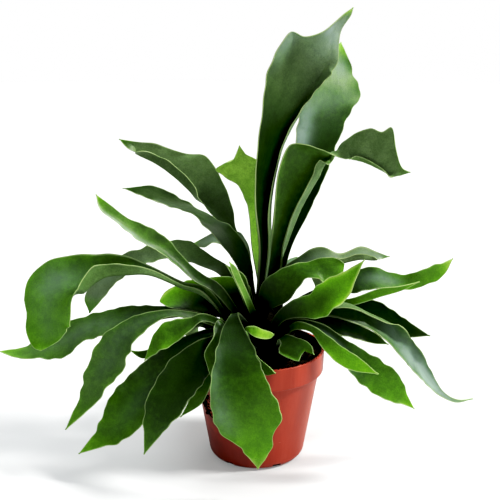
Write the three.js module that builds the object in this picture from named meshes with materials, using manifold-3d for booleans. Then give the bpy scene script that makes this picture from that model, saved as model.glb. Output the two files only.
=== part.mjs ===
// A staghorn fern growing in a round plastic nursery pot.
// Millimetres, +Z up, origin at the centre of the pot's base, the plant's front towards -Y.
import * as THREE from "three";
import { mergeVertices } from "three/addons/utils/BufferGeometryUtils.js";
import Module from "manifold-3d";

// Driving dimensions
const GAP = 0.8; // left between a frond and the socket it stands in
const POT = { height: 100, rimRadius: 60, bodyRadius: 55.5, baseRadius: 43, collar: 20, wall: 2, edge: 8 };
const POT_SIDES = 40;
const LIP = 1; // chamfer of the rim and of the collar's lower edge
const MOUTH_RADIUS = 57.4; // inside the rim
const FLOOR_RADIUS = 40; // inside, at the floor
const DRAIN = { count: 6, width: 6, height: 3.6, depth: 12, firstDegrees: 25 };
const SOIL = { top: 94, clearance: 0.3, relief: 0.9, reliefFrom: 42, ringRadii: [51, 46, 41], sides: 36 };
const CROWN = { radius: 36, height: 42, sunk: 8, sides: 22, rings: 5 };
const RIPPLE = { ridges: 7, height: 0.05, from: 12 }; // of the crown: lengthwise folds above the soil
const STALK = { halfWidth: 3, thickness: 2.6, depth: 6, rise: 6 };
const BLADE_THICKNESS = 1;
const EDGE_THINNING = 0.2; // of the thickness, lost from midrib to edge
const POINTED = 0.6; // half width below which a blade has come to its tip
const STALK_SHARE = 0.35; // of the length, over which the stalk thins into the blade
const LOBES_FROM = 0.6; // share of the length where a broken tip starts to reach out
const WAVES = { from: 0.2, full: 0.5, fullWidth: 8, sideShift: 0.35 }; // along the edges, in shares
const ROWS_PER_RIB = 2;
const PLACES = { count: 90, lowest: 0.2, turnDegrees: 137.508 }; // where stalks leave the crown: a leaf spiral

// Every frond, from the crown out to its tip. A rib is the blade's left and right edge, [x, y, z, x, y, z],
// as seen on the upper face looking towards the tip. cup: how far the blade is channelled, in degrees from root
// to tip. wave: height, number and start of the waves along the edges. lobes: how far the broken tip reaches
// beyond the last rib, from the left edge to the right. columns: strips across the blade.
const LONG_CUP = [45, 22, 12, 10];
const SOFT_WAVE = [0.8, 2, 0];
const FRONDS = {
  frond_rim_small: {
    columns: 2,
    ribs: [[-5, -60, 123, -10, -58, 121], [1, -66, 115, -5, -66, 112], [7, -73, 112, 2, -72, 105],
      [12, -77, 109, 8, -76, 103], [15, -79, 106, 15, -79, 106]],
  },
  frond_soil_curled: {
    columns: 2,
    ribs: [[-9, -57, 137, -9, -57, 134], [-2, -59, 139, -3, -61, 131], [5, -59, 136, 4, -62, 129],
      [11, -59, 134, 11, -61, 129], [14, -60, 132, 14, -60, 132]],
  },
  frond_soil_lobed: {
    columns: 8, lobes: [4, 2, 0, 3, 8, 7, 5, 3, 0],
    ribs: [[24, -48, 127, 18, -50, 124], [37, -58, 127, 20, -57, 121], [44, -62, 124, 18, -60, 120],
      [46, -64, 120, 18, -62, 117]],
  },
  frond_front_big: {
    cup: [30, 14, 8, 8], wave: [2, 2.4, 0.15],
    ribs: [[-15, -54, 148, -20, -52, 146], [-11, -65, 140, -27, -62, 139], [-5, -75, 132, -30, -71, 130],
      [1, -88, 123, -33, -83, 117], [6, -96, 112, -36, -92, 95], [13, -102, 99, -35, -96, 78],
      [20, -104, 82, -29, -98, 63], [14, -102, 67, -16, -98, 55], [11, -98, 47, -7, -96, 43],
      [1, -94, 30, 1, -94, 30]],
  },
  frond_front_narrow: {
    ribs: [[-24, -52, 134, -31, -50, 140], [-25, -60, 131, -35, -56, 137], [-25, -68, 123, -36, -64, 130],
      [-25, -75, 116, -42, -68, 119], [-28, -80, 106, -39, -74, 107], [-33, -80, 94, -33, -80, 94]],
  },
  frond_front_left_dark: {
    wave: [1.2, 2, 0.5],
    ribs: [[-25, -54, 117, -29, -48, 127], [-36, -68, 105, -47, -58, 126], [-43, -78, 97, -68, -64, 113],
      [-51, -84, 87, -82, -68, 95], [-61, -88, 73, -90, -72, 76], [-74, -88, 60, -91, -76, 58],
      [-92, -82, 36, -92, -82, 36]],
  },
  frond_front_left_inner: {
    columns: 2,
    ribs: [[-27, -46, 111, -34, -44, 116], [-35, -56, 96, -44, -52, 101], [-40, -60, 82, -51, -56, 85],
      [-47, -60, 70, -57, -58, 72], [-64, -58, 58, -64, -58, 58]],
  },
  frond_front_left_low: {
    wave: [1.6, 2.2, 0.1],
    ribs: [[-36, -46, 122, -38, -42, 131], [-55, -56, 106, -64, -48, 124], [-70, -62, 88, -86, -50, 110],
      [-82, -68, 71, -106, -52, 92], [-94, -70, 56, -122, -54, 75], [-112, -70, 41, -131, -58, 55],
      [-129, -68, 35, -138, -60, 41], [-150, -62, 26, -150, -62, 26]],
  },
  frond_left_small: {
    ribs: [[-42, -54, 141, -42, -52, 147], [-53, -60, 136, -55, -56, 145], [-66, -64, 126, -68, -58, 144],
      [-76, -66, 121, -79, -60, 139], [-83, -64, 116, -86, -60, 127], [-92, -62, 110, -92, -62, 110]],
  },
  frond_left_narrow: {
    columns: 2,
    ribs: [[-48, -30, 128, -48, -28, 133], [-69, -38, 117, -70, -36, 123], [-86, -42, 107, -88, -40, 113],
      [-97, -42, 104, -99, -40, 110], [-108, -40, 111, -108, -40, 111]],
  },
  frond_left_broad: {
    wave: [1.6, 2.2, 0.2],
    ribs: [[-44, -32, 155, -41, -28, 161], [-64, -34, 164, -63, -30, 168], [-88, -38, 175, -89, -30, 181],
      [-108, -40, 176, -111, -30, 190], [-126, -42, 174, -133, -28, 190], [-141, -46, 163, -158, -26, 188],
      [-148, -50, 153, -177, -26, 182], [-151, -52, 140, -193, -30, 166], [-156, -51, 131, -193, -38, 130],
      [-163, -50, 123, -190, -41, 119], [-172, -48, 117, -186, -44, 114],
      [-181, -46, 112, -181, -46, 112]],
  },
  frond_left_drooping: {
    wave: [1.6, 3, 0.2],
    ribs: [[-45, -41, 135, -44, -37, 141], [-68, -52, 144, -67, -46, 148], [-84, -58, 140, -89, -48, 146],
      [-96, -62, 129, -109, -48, 140], [-103, -64, 116, -128, -48, 125], [-109, -66, 102, -137, -50, 107],
      [-120, -68, 91, -145, -54, 90], [-131, -68, 75, -148, -58, 75], [-160, -62, 48, -160, -62, 48]],
  },
  frond_left_long: {
    wave: [2.2, 3.2, 0],
    ribs: [[-49, -12, 130, -48, -8, 138], [-75, -14, 130, -76, -8, 139], [-104, -18, 124, -104, -6, 138],
      [-125, -22, 117, -126, -4, 135], [-146, -22, 111, -151, -2, 128], [-167, -22, 97, -174, 0, 117],
      [-189, -20, 95, -195, 0, 105], [-208, -14, 91, -212, -2, 98], [-228, -8, 97, -228, -8, 97]],
  },
  frond_left_bright: {
    columns: 2,
    cup: [40, 30, 30, 20],
    ribs: [[-36, -34, 159, -30, -30, 164], [-52, -34, 169, -45, -30, 174], [-68, -34, 183, -59, -28, 185],
      [-83, -34, 195, -73, -26, 201], [-100, -38, 207, -87, -30, 213], [-115, -40, 221, -106, -34, 223],
      [-127, -42, 232, -119, -38, 235], [-130, -40, 244, -130, -40, 244]],
  },
  frond_pale_narrow: {
    columns: 2,
    ribs: [[-10, -40, 153, -5, -38, 155], [-16, -40, 168, -12, -38, 171], [-21, -38, 179, -17, -36, 182],
      [-23, -36, 187, -23, -36, 187]],
  },
  frond_centre_short: {
    columns: 2,
    ribs: [[-15, -24, 158, -7, -22, 161], [-21, -24, 171, -12, -22, 173], [-26, -24, 181, -26, -24, 181]],
  },
  frond_right_notched: {
    wave: [1, 2, 0],
    ribs: [[3, -24, 157, 15, -32, 146], [9, -26, 170, 28, -38, 155], [25, -26, 179, 39, -38, 171],
      [40, -26, 184, 50, -38, 172], [55, -26, 188, 56, -36, 169], [67, -26, 187, 66, -33, 174],
      [73, -28, 183, 72, -30, 177]],
  },
  frond_right_bright: {
    wave: [1.2, 1.8, 0.2],
    ribs: [[16, -46, 145, 22, -50, 140], [28, -52, 158, 35, -58, 146], [43, -54, 165, 51, -64, 147],
      [54, -54, 176, 63, -66, 156], [67, -54, 182, 74, -64, 167], [76, -54, 187, 79, -60, 179],
      [86, -56, 194, 86, -56, 194]],
  },
  frond_right_low_bright: {
    columns: 2,
    ribs: [[33, -57, 142, 31, -58, 135], [46, -68, 142, 43, -68, 137], [57, -74, 136, 51, -74, 128],
      [70, -78, 127, 61, -80, 118], [82, -78, 119, 75, -82, 110], [97, -80, 106, 97, -80, 106]],
  },
  frond_right_low: {
    wave: [1.4, 2.5, 0.1],
    ribs: [[36, -44, 140, 34, -46, 134], [55, -52, 138, 52, -54, 130], [71, -56, 128, 65, -58, 118],
      [88, -58, 118, 76, -64, 101], [105, -58, 107, 89, -68, 89], [118, -58, 95, 105, -66, 78],
      [125, -58, 79, 120, -62, 72], [131, -60, 67, 131, -60, 67]],
  },
  frond_right_curled: {
    cup: [40, 40, 36, 20], wave: [1, 3, 0],
    ribs: [[38, -37, 144, 38, -39, 138], [57, -39, 151, 58, -41, 142], [74, -38, 152, 77, -42, 137],
      [92, -36, 143, 96, -42, 128], [109, -34, 134, 110, -42, 116], [127, -30, 120, 123, -38, 101],
      [140, -28, 103, 135, -34, 87], [152, -24, 83, 147, -28, 74], [163, -20, 66, 160, -22, 62],
      [176, -17, 57, 176, -18, 54], [191, -14, 56, 191, -14, 56]],
  },
  frond_right_under: {
    columns: 2,
    ribs: [[39, -16, 131, 40, -18, 125], [56, -16, 133, 58, -20, 122], [74, -14, 131, 73, -20, 117],
      [91, -12, 123, 89, -18, 112], [104, -12, 116, 102, -16, 108], [115, -12, 106, 115, -12, 106]],
  },
  frond_right_strip: {
    columns: 2,
    ribs: [[38, -23, 141, 39, -25, 136], [62, -26, 149, 64, -28, 143], [82, -28, 154, 84, -29, 148],
      [102, -29, 162, 105, -29, 155], [118, -29, 164, 122, -28, 160], [136, -29, 168, 136, -29, 168]],
  },
  frond_right_long: {
    wave: [1, 2.2, 0],
    ribs: [[33, -8, 145, 35, -10, 139], [59, -10, 160, 61, -14, 150], [81, -10, 171, 83, -20, 155],
      [100, -10, 175, 101, -22, 159], [119, -12, 170, 118, -20, 158], [132, -16, 172, 132, -18, 158],
      [146, -18, 179, 148, -16, 163], [156, -18, 182, 159, -15, 170], [166, -16, 185, 166, -16, 185]],
  },
  frond_right_dark: {
    wave: [1, 2, 0.5],
    ribs: [[38, 8, 136, 41, 6, 129], [63, 14, 138, 65, 10, 127], [85, 18, 137, 85, 12, 121],
      [107, 20, 136, 103, 12, 115], [125, 20, 125, 120, 12, 107], [139, 18, 116, 136, 14, 103],
      [157, 16, 104, 157, 16, 104]],
  },
  frond_upright_back: {
    wave: [2, 2, 0.4],
    ribs: [[16, 10, 185, 29, 14, 185], [23, 14, 216, 45, 18, 218], [28, 16, 246, 58, 22, 249],
      [32, 12, 281, 68, 30, 279], [35, 16, 305, 80, 34, 303], [41, 26, 323, 90, 40, 317],
      [51, 38, 341, 84, 48, 333], [61, 50, 354, 78, 54, 349], [74, 62, 362, 74, 62, 362]],
  },
  frond_right_back: {
    columns: 2,
    wave: [1, 2, 0],
    ribs: [[21, 6, 166, 26, 2, 159], [36, 12, 178, 43, 6, 167], [54, 18, 186, 59, 10, 171],
      [74, 20, 180, 75, 14, 172], [92, 22, 186, 91, 16, 175], [106, 22, 181, 106, 18, 174],
      [118, 20, 177, 118, 20, 177]],
  },
  frond_back_left: {
    columns: 2,
    wave: [1, 1.5, 0.2],
    ribs: [[-13, 14, 160, -5, 18, 167], [-21, 18, 174, -7, 24, 184], [-28, 20, 183, -15, 30, 195],
      [-38, 22, 189, -31, 30, 198], [-48, 24, 184, -45, 30, 193], [-59, 28, 186, -59, 28, 186]],
  },
  frond_back_bright: {
    wave: [1.5, 2, 0.2],
    ribs: [[-5, 30, 180, 4, 34, 179], [-8, 40, 211, 4, 45, 212], [-13, 45, 227, 6, 50, 231],
      [-19, 47, 237, 7, 54, 244], [-32, 48, 245, 4, 55, 253], [-37, 48, 251, -2, 54, 259],
      [-30, 48, 257, -7, 53, 262], [-22, 49, 260, -11, 52, 265], [-16, 50, 272, -16, 50, 272]],
  },
  frond_upright_front: {
    cup: [30, 20, 14, 12], wave: [2, 2.2, 0.1],
    ribs: [[1, -18, 191, 10, -12, 190], [-3, -20, 230, 11, -8, 234], [-3, -22, 270, 19, -2, 275],
      [1, -22, 310, 31, 2, 300], [5, -19, 337, 40, 6, 317], [15, -15, 357, 49, 6, 333],
      [26, -11, 371, 58, 5, 341], [38, -9, 368, 65, 3, 348], [51, -8, 372, 66, 2, 361],
      [61, -6, 379, 69, 0, 374], [69, -5, 385, 75, -2, 384], [77, -4, 390, 77, -4, 390]],
  },
  frond_upright_flag: {
    wave: [1, 2, 0],
    ribs: [[9, -6, 188, 23, 0, 189], [12, -10, 221, 33, 2, 216], [15, -12, 258, 42, 4, 235],
      [25, -10, 281, 52, 4, 252], [42, -13, 283, 57, 1, 263], [54, -17, 279, 61, -3, 269],
      [62, -19, 274, 63, -7, 275], [72, -19, 270, 71, -12, 284], [81, -20, 269, 80, -18, 291],
      [91, -21, 266, 91, -24, 295], [101, -20, 261, 100, -28, 293], [108, -19, 257, 108, -30, 296],
      [114, -18, 256, 112, -27, 280], [119, -18, 256, 118, -22, 264], [126, -20, 259, 126, -20, 259]],
  },
  frond_left_high: {
    wave: [2, 2.4, 0.3],
    ribs: [[-17, 30, 173, -8, 36, 175], [-33, 40, 198, -20, 48, 195], [-48, 46, 213, -24, 56, 214],
      [-61, 50, 229, -33, 62, 238], [-76, 52, 243, -47, 64, 260], [-93, 54, 255, -69, 64, 263],
      [-107, 54, 262, -92, 62, 271], [-117, 54, 268, -108, 58, 274], [-125, 56, 277, -125, 56, 277]],
  },
  frond_left_middle: {
    wave: [1.2, 2, 0.6],
    ribs: [[-16, 4, 167, -5, 10, 171], [-27, 6, 185, -11, 14, 189], [-44, 8, 204, -23, 18, 203],
      [-58, 10, 216, -39, 22, 212], [-72, 10, 221, -57, 22, 223], [-89, 12, 228, -75, 20, 233],
      [-104, 14, 234, -92, 20, 240], [-117, 16, 239, -117, 16, 239]],
  },
  frond_left_arched: {
    wave: [1, 2, 0],
    ribs: [[-31, 6, 161, -22, 12, 165], [-47, 10, 169, -40, 18, 177], [-65, 12, 174, -62, 24, 190],
      [-83, 12, 175, -84, 26, 188], [-98, 10, 172, -106, 24, 181], [-112, 8, 165, -126, 22, 173],
      [-126, 6, 154, -143, 18, 157], [-135, 4, 142, -154, 14, 142], [-149, 6, 128, -149, 6, 128]],
  },
  shield_frond: {
    columns: 6, cup: [10, 12, 14, 14],
    ribs: [[-44, -22, 137, -7, -8, 140], [-66, -24, 142, -5, -7, 150], [-78, -24, 145, -9, -8, 160],
      [-83, -22, 150, -25, -10, 167], [-76, -20, 158, -45, -12, 166], [-60, -16, 165, -60, -16, 165]],
  },
  frond_rear_left: {
    wave: [1.8, 2.4, 0.3],
    ribs: [[-24, 24, 130, -16, 30, 130], [-40, 36, 138, -26, 48, 138], [-55, 50, 130, -36, 70, 132],
      [-65, 64, 110, -46, 86, 112], [-70, 76, 86, -54, 94, 90], [-70, 84, 66, -62, 92, 68],
      [-68, 90, 54, -68, 90, 54]],
  },
  frond_rear_left_inner: {
    wave: [1.4, 2, 0.1],
    ribs: [[-13, 28, 134, -3, 30, 134], [-20, 47, 143, -4, 52, 143], [-29, 70, 143, -4, 79, 145],
      [-37, 94, 130, -8, 105, 134], [-40, 114, 106, -16, 122, 112], [-38, 124, 82, -23, 128, 86],
      [-32, 131, 62, -32, 131, 62]],
  },
  frond_rear_middle: {
    columns: 8, wave: [1.2, 2, 0.6], lobes: [2, 7, 9, 5, 0, 4, 8, 5, 1],
    ribs: [[0, 32, 122, 9, 31, 122], [-2, 53, 127, 14, 51, 127], [-4, 77, 118, 22, 74, 118],
      [-4, 97, 96, 28, 94, 98], [1, 108, 72, 30, 106, 76], [6, 113, 58, 29, 111, 62]],
  },
  frond_rear_right: {
    wave: [1.8, 2.6, 0.4],
    ribs: [[12, 30, 134, 21, 26, 134], [22, 56, 152, 37, 46, 152], [33, 84, 156, 56, 68, 157],
      [48, 108, 142, 74, 90, 146], [62, 124, 112, 86, 108, 120], [74, 130, 82, 90, 120, 90],
      [82, 132, 62, 82, 132, 62]],
  },
  frond_rear_right_low: {
    wave: [1.2, 2, 0.2],
    ribs: [[24, 25, 110, 31, 17, 110], [36, 40, 110, 47, 27, 109], [49, 55, 104, 62, 37, 104],
      [61, 68, 88, 77, 49, 90], [73, 77, 68, 85, 61, 72], [82, 81, 52, 82, 81, 52]],
  },
};

const wasm = await Module();
wasm.setup();

function solidOf(geometry) {
  const bare = geometry.clone();
  bare.deleteAttribute("normal");
  bare.deleteAttribute("uv");
  const merged = mergeVertices(bare, 1e-4);
  return new wasm.Manifold(new wasm.Mesh({
    numProp: 3,
    vertProperties: new Float32Array(merged.attributes.position.array),
    triVerts: new Uint32Array(merged.index.array),
  }));
}

function geometryOf(solid) {
  const mesh = solid.getMesh();
  const geometry = new THREE.BufferGeometry();
  geometry.setAttribute("position", new THREE.Float32BufferAttribute(mesh.vertProperties, 3));
  geometry.setIndex([...mesh.triVerts]);
  geometry.computeVertexNormals();
  return geometry;
}

const smoothstep = THREE.MathUtils.smoothstep;

function alongList(list, share) {
  const place = share * (list.length - 1);
  const index = Math.min(Math.floor(place), list.length - 2);
  return THREE.MathUtils.lerp(list[index], list[index + 1], place - index);
}

// ---- pot ----
function turned(profile, sides) {
  const geometry = new THREE.LatheGeometry(profile.map(([r, z]) => new THREE.Vector2(r, z)), sides);
  geometry.rotateX(Math.PI / 2);
  return geometry;
}

function mouthRadiusAt(z) {
  return THREE.MathUtils.lerp(FLOOR_RADIUS, MOUTH_RADIUS, (z - POT.wall) / (POT.height - POT.wall));
}

function makePot() {
  const { height, rimRadius, bodyRadius, baseRadius, collar, wall, edge } = POT;
  const shoulder = height - collar;
  const arc = [0, 1, 2, 3].map((i) => {
    const angle = (i / 3) * (Math.PI / 2);
    return [baseRadius - edge * (1 - Math.sin(angle)), edge * (1 - Math.cos(angle))];
  });
  const outside = [
    [0, 0], ...arc, [bodyRadius, shoulder],
    [rimRadius - 2 * LIP, shoulder], [rimRadius - LIP, shoulder + LIP],
    [rimRadius, height - LIP], [rimRadius - LIP, height],
  ];
  const inside = [
    [MOUTH_RADIUS + LIP / 2, height], [MOUTH_RADIUS, height - LIP], [FLOOR_RADIUS, wall], [0, wall],
  ];
  let solid = solidOf(turned([...outside, ...inside], POT_SIDES));
  for (let i = 0; i < DRAIN.count; i++) {
    const notch = new THREE.BoxGeometry(DRAIN.depth, DRAIN.width, DRAIN.height * 2);
    notch.translate(baseRadius, 0, 0);
    notch.rotateZ(THREE.MathUtils.degToRad(DRAIN.firstDegrees - 90 + (360 / DRAIN.count) * i));
    solid = solid.subtract(solidOf(notch));
  }
  return geometryOf(solid);
}

// ---- soil: fills the pot, with a round seat for the crown ----
function makeSoil() {
  const floor = POT.wall + SOIL.clearance;
  const side = (z) => mouthRadiusAt(z) - SOIL.clearance;
  const seat = CROWN.radius + SOIL.clearance;
  const seatFloor = SOIL.top - CROWN.sunk - SOIL.clearance;
  const profile = [
    [0, floor], [side(floor), floor], [side(SOIL.top), SOIL.top],
    ...SOIL.ringRadii.map((radius) => [radius, SOIL.top]),
    [seat, SOIL.top], [seat, seatFloor], [0, seatFloor],
  ];
  const geometry = turned(profile, SOIL.sides);
  const position = geometry.attributes.position;
  for (let i = 0; i < position.count; i++) {
    const radius = Math.hypot(position.getX(i), position.getY(i));
    if (position.getZ(i) < SOIL.top - 0.01) continue;
    const angle = Math.atan2(position.getY(i), position.getX(i));
    const relief = Math.sin(5 * angle + radius) + Math.sin(11 * angle + 0.7 * radius);
    position.setZ(i, SOIL.top + SOIL.relief * relief * smoothstep(radius, seat, SOIL.reliefFrom));
  }
  return geometry;
}

// ---- crown: the mound that every stalk leaves, its sockets cut to the stalks ----
function onCrown(direction, outward = 0) {
  const radii = new THREE.Vector3(CROWN.radius, CROWN.radius, CROWN.height);
  const point = direction.clone().multiply(radii);
  const normal = direction.clone().divide(radii).normalize();
  point.z += SOIL.top;
  return { point: point.addScaledVector(normal, outward), normal };
}

function makeCrown(fronds) {
  const dome = [];
  for (let i = 0; i <= CROWN.rings; i++) {
    const angle = (i / CROWN.rings) * (Math.PI / 2);
    dome.push([CROWN.radius * Math.cos(angle), SOIL.top + CROWN.height * Math.sin(angle)]);
  }
  dome[CROWN.rings][0] = 0;
  const foot = SOIL.top - CROWN.sunk;
  const geometry = turned([[0, foot], [CROWN.radius, foot], ...dome], CROWN.sides);
  const position = geometry.attributes.position;
  for (let i = 0; i < position.count; i++) {
    const share = smoothstep(position.getZ(i), SOIL.top, SOIL.top + RIPPLE.from);
    const angle = Math.atan2(position.getY(i), position.getX(i));
    const ripple = 1 + RIPPLE.height * share * Math.sin(RIPPLE.ridges * angle + 0.3 * position.getZ(i));
    position.setXY(i, position.getX(i) * ripple, position.getY(i) * ripple);
  }
  let solid = solidOf(geometry);
  for (const frond of fronds) {
    solid = solid.subtract(solidOf(makeSocket(frond)));
  }
  return geometryOf(solid);
}

// A plain square-edged hole round the foot of a stalk
function makeSocket(frond) {
  const foot = section(frond.edges, 0);
  const rise = lift(frond, foot, 1);
  const length = 2 * STALK.depth + STALK.rise;
  const box = new THREE.BoxGeometry(2 * (foot.half + GAP), STALK.thickness + rise + 2 * GAP, length + GAP);
  box.translate(0, rise / 2, length / 2 - GAP / 2);
  const sideways = foot.across.clone().negate();
  box.applyMatrix4(new THREE.Matrix4().makeBasis(sideways, foot.up, foot.along).setPosition(foot.centre));
  return box;
}

// ---- fronds ----
function leafSpiral() {
  return Array.from({ length: PLACES.count }, (_, i) => {
    const z = 1 - (1 - PLACES.lowest) * ((i + 0.5) / PLACES.count);
    const angle = THREE.MathUtils.degToRad(PLACES.turnDegrees * i);
    const flat = Math.sqrt(1 - z * z);
    return new THREE.Vector3(flat * Math.cos(angle), flat * Math.sin(angle), z);
  });
}

// Each frond takes the free place of the spiral that is nearest to its first rib
function rootFronds() {
  const free = leafSpiral();
  const scale = new THREE.Vector3(CROWN.radius, CROWN.radius, CROWN.height);
  return Object.entries(FRONDS).map(([name, shape]) => {
    const edges = shape.ribs.map((rib) => [rib.slice(0, 3), rib.slice(3)].map((p) => new THREE.Vector3(...p)));
    const [left, right] = edges[0];
    const wish = left.clone().add(right).multiplyScalar(0.5);
    wish.z -= SOIL.top;
    wish.divide(scale).normalize();
    free.sort((a, b) => a.distanceTo(wish) - b.distanceTo(wish));
    const direction = free.shift();
    const { normal } = onCrown(direction);
    const across = right.clone().sub(left);
    across.addScaledVector(normal, -across.dot(normal)).normalize();
    const stalk = [-STALK.depth, STALK.rise].map((outward) => {
      const { point } = onCrown(direction, outward);
      return [-1, 1].map((side) => point.clone().addScaledVector(across, side * STALK.halfWidth));
    });
    return { name, ...shape, edges: [...stalk, ...edges] };
  });
}

// A point of one edge, on the smooth curve through the ribs; place counts ribs from the root
function edgePoint(edges, side, place) {
  const last = edges.length - 1;
  const index = Math.min(Math.floor(place), last - 1);
  const rib = (i) => {
    if (i < 0) return edges[0][side].clone().multiplyScalar(2).sub(edges[1][side]);
    if (i > last) return edges[last][side].clone().multiplyScalar(2).sub(edges[last - 1][side]);
    return edges[i][side];
  };
  const [a, b, c, d] = [rib(index - 1), rib(index), rib(index + 1), rib(index + 2)];
  const t = place - index;
  const curve = (p, q, r, s) => 0.5 * (2 * q + (r - p) * t + (2 * p - 5 * q + 4 * r - s) * t * t
    + (3 * q - p - 3 * r + s) * t ** 3);
  return new THREE.Vector3(curve(a.x, b.x, c.x, d.x), curve(a.y, b.y, c.y, d.y), curve(a.z, b.z, c.z, d.z));
}

// Centre, directions and half width of the blade at a place along it
function section(edges, place) {
  const step = 0.02;
  const last = edges.length - 1;
  const left = edgePoint(edges, 0, place);
  const right = edgePoint(edges, 1, place);
  const [before, after] = [Math.max(0, place - step), Math.min(last, place + step)];
  const along = edgePoint(edges, 0, after).add(edgePoint(edges, 1, after));
  along.sub(edgePoint(edges, 0, before)).sub(edgePoint(edges, 1, before)).normalize();
  let across = right.clone().sub(left);
  const half = Math.max(across.length() / 2, POINTED);
  if (half === POINTED) {
    const inside = last - 0.5;
    across = edgePoint(edges, 1, inside).sub(edgePoint(edges, 0, inside));
  }
  across.normalize();
  return {
    centre: left.add(right).multiplyScalar(0.5), along, across, half, share: place / last,
    up: across.clone().cross(along).normalize(),
  };
}

// How far the middle surface stands off the flat rib at v, from -1 at the left edge to 1 at the right
function lift(frond, at, v) {
  const cup = THREE.MathUtils.degToRad(alongList(frond.cup ?? LONG_CUP, at.share));
  const [height, count, start] = frond.wave ?? SOFT_WAVE;
  const shift = v < 0 ? WAVES.sideShift : 0;
  const wave = height * Math.sin(2 * Math.PI * (count * at.share + start + shift));
  const fade = smoothstep(at.share, WAVES.from, WAVES.full) * Math.min(1, at.half / WAVES.fullWidth);
  return v * v * (0.5 * at.half * Math.tan(cup) + wave * fade);
}

// A closed blade: an upper and a lower skin with the same triangles, and a thin edge all round
function makeBlade(frond) {
  const columns = frond.columns ?? 4;
  const last = frond.edges.length - 1;
  const rows = Math.round(last * ROWS_PER_RIB);
  const points = [];
  for (const face of [1, -1]) {
    for (let i = 0; i <= rows; i++) {
      const at = section(frond.edges, (i / rows) * last);
      const body = THREE.MathUtils.lerp(STALK.thickness, BLADE_THICKNESS, smoothstep(at.share, 0, STALK_SHARE));
      for (let j = 0; j <= columns; j++) {
        const v = -1 + (2 * j) / columns;
        const thickness = body * (1 - EDGE_THINNING * v * v);
        const lobe = frond.lobes ? alongList(frond.lobes, j / columns) : 0;
        const reach = lobe * smoothstep(at.share, LOBES_FROM, 1);
        points.push(at.centre.clone()
          .addScaledVector(at.across, at.half * v)
          .addScaledVector(at.up, lift(frond, at, v) + (face * thickness) / 2)
          .addScaledVector(at.along, reach));
      }
    }
  }
  const index = [];
  const quad = (a, b, c, d) => index.push(a, b, c, a, c, d);
  const upper = (i, j) => i * (columns + 1) + j;
  const lower = (i, j) => (rows + 1) * (columns + 1) + upper(i, j);
  for (let i = 0; i < rows; i++) {
    for (let j = 0; j < columns; j++) {
      quad(upper(i, j), upper(i, j + 1), upper(i + 1, j + 1), upper(i + 1, j));
      index.push(lower(i, j), lower(i + 1, j + 1), lower(i, j + 1));
      index.push(lower(i, j), lower(i + 1, j), lower(i + 1, j + 1));
    }
    quad(upper(i, 0), upper(i + 1, 0), lower(i + 1, 0), lower(i, 0));
    quad(upper(i, columns), lower(i, columns), lower(i + 1, columns), upper(i + 1, columns));
  }
  for (let j = 0; j < columns; j++) {
    quad(upper(0, j), lower(0, j), lower(0, j + 1), upper(0, j + 1));
    quad(upper(rows, j), upper(rows, j + 1), lower(rows, j + 1), lower(rows, j));
  }
  const geometry = new THREE.BufferGeometry().setFromPoints(points);
  geometry.setIndex(index);
  geometry.computeVertexNormals();
  return geometry;
}

// ---- the plant ----
const plastic = new THREE.MeshStandardMaterial({ color: 0xb0402f, roughness: 0.45, metalness: 0 });
const peat = new THREE.MeshStandardMaterial({ color: 0x1c120c, roughness: 1, metalness: 0 });
const rhizome = new THREE.MeshStandardMaterial({ color: 0x3a3018, roughness: 0.9, metalness: 0 });
const leaf = new THREE.MeshStandardMaterial({ color: 0x3c6a28, roughness: 0.5, metalness: 0 });
const youngLeaf = new THREE.MeshStandardMaterial({ color: 0x6a9a2a, roughness: 0.5, metalness: 0 });

function named(name, geometry, material) {
  const mesh = new THREE.Mesh(geometry, material);
  mesh.name = name;
  return mesh;
}

const fronds = rootFronds();
const plant = new THREE.Group();
plant.add(named("pot", makePot(), plastic));
plant.add(named("soil", makeSoil(), peat));
plant.add(named("crown", makeCrown(fronds), rhizome));
for (const frond of fronds) {
  const young = /bright|shield|pale/.test(frond.name);
  plant.add(named(frond.name, makeBlade(frond), young ? youngLeaf : leaf));
}

export default plant;
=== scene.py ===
# A potted staghorn fern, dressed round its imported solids. Metres, +Z up, the plant's front towards -Y.
import contextlib
import math
import random

import bpy
import numpy as np
from mathutils import Euler, Matrix, Vector, noise


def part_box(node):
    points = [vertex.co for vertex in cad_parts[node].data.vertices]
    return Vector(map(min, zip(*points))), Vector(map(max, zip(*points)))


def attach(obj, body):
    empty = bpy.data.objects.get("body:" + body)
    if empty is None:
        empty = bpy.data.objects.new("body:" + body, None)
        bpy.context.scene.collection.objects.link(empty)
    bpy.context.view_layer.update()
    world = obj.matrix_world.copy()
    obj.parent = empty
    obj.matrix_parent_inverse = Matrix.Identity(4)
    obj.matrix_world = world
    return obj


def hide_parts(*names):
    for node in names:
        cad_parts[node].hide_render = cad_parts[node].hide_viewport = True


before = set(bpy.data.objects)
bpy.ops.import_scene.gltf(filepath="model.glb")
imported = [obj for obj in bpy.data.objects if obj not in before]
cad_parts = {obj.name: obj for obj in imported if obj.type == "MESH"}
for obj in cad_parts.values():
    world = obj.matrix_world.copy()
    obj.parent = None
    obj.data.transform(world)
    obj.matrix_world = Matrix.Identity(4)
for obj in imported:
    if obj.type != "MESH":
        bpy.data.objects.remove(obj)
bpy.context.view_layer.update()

bl_info = {
    "name": "Potted staghorn fern",
    "version": (1, 0, 0),
    "blender": (4, 5, 0),
    "location": "3D View > Sidebar > Fern",
    "description": "Models a staghorn fern in a nursery pot, frond by frond, and its studio",
    "category": "Add Mesh",
}

MM = 0.001

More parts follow.
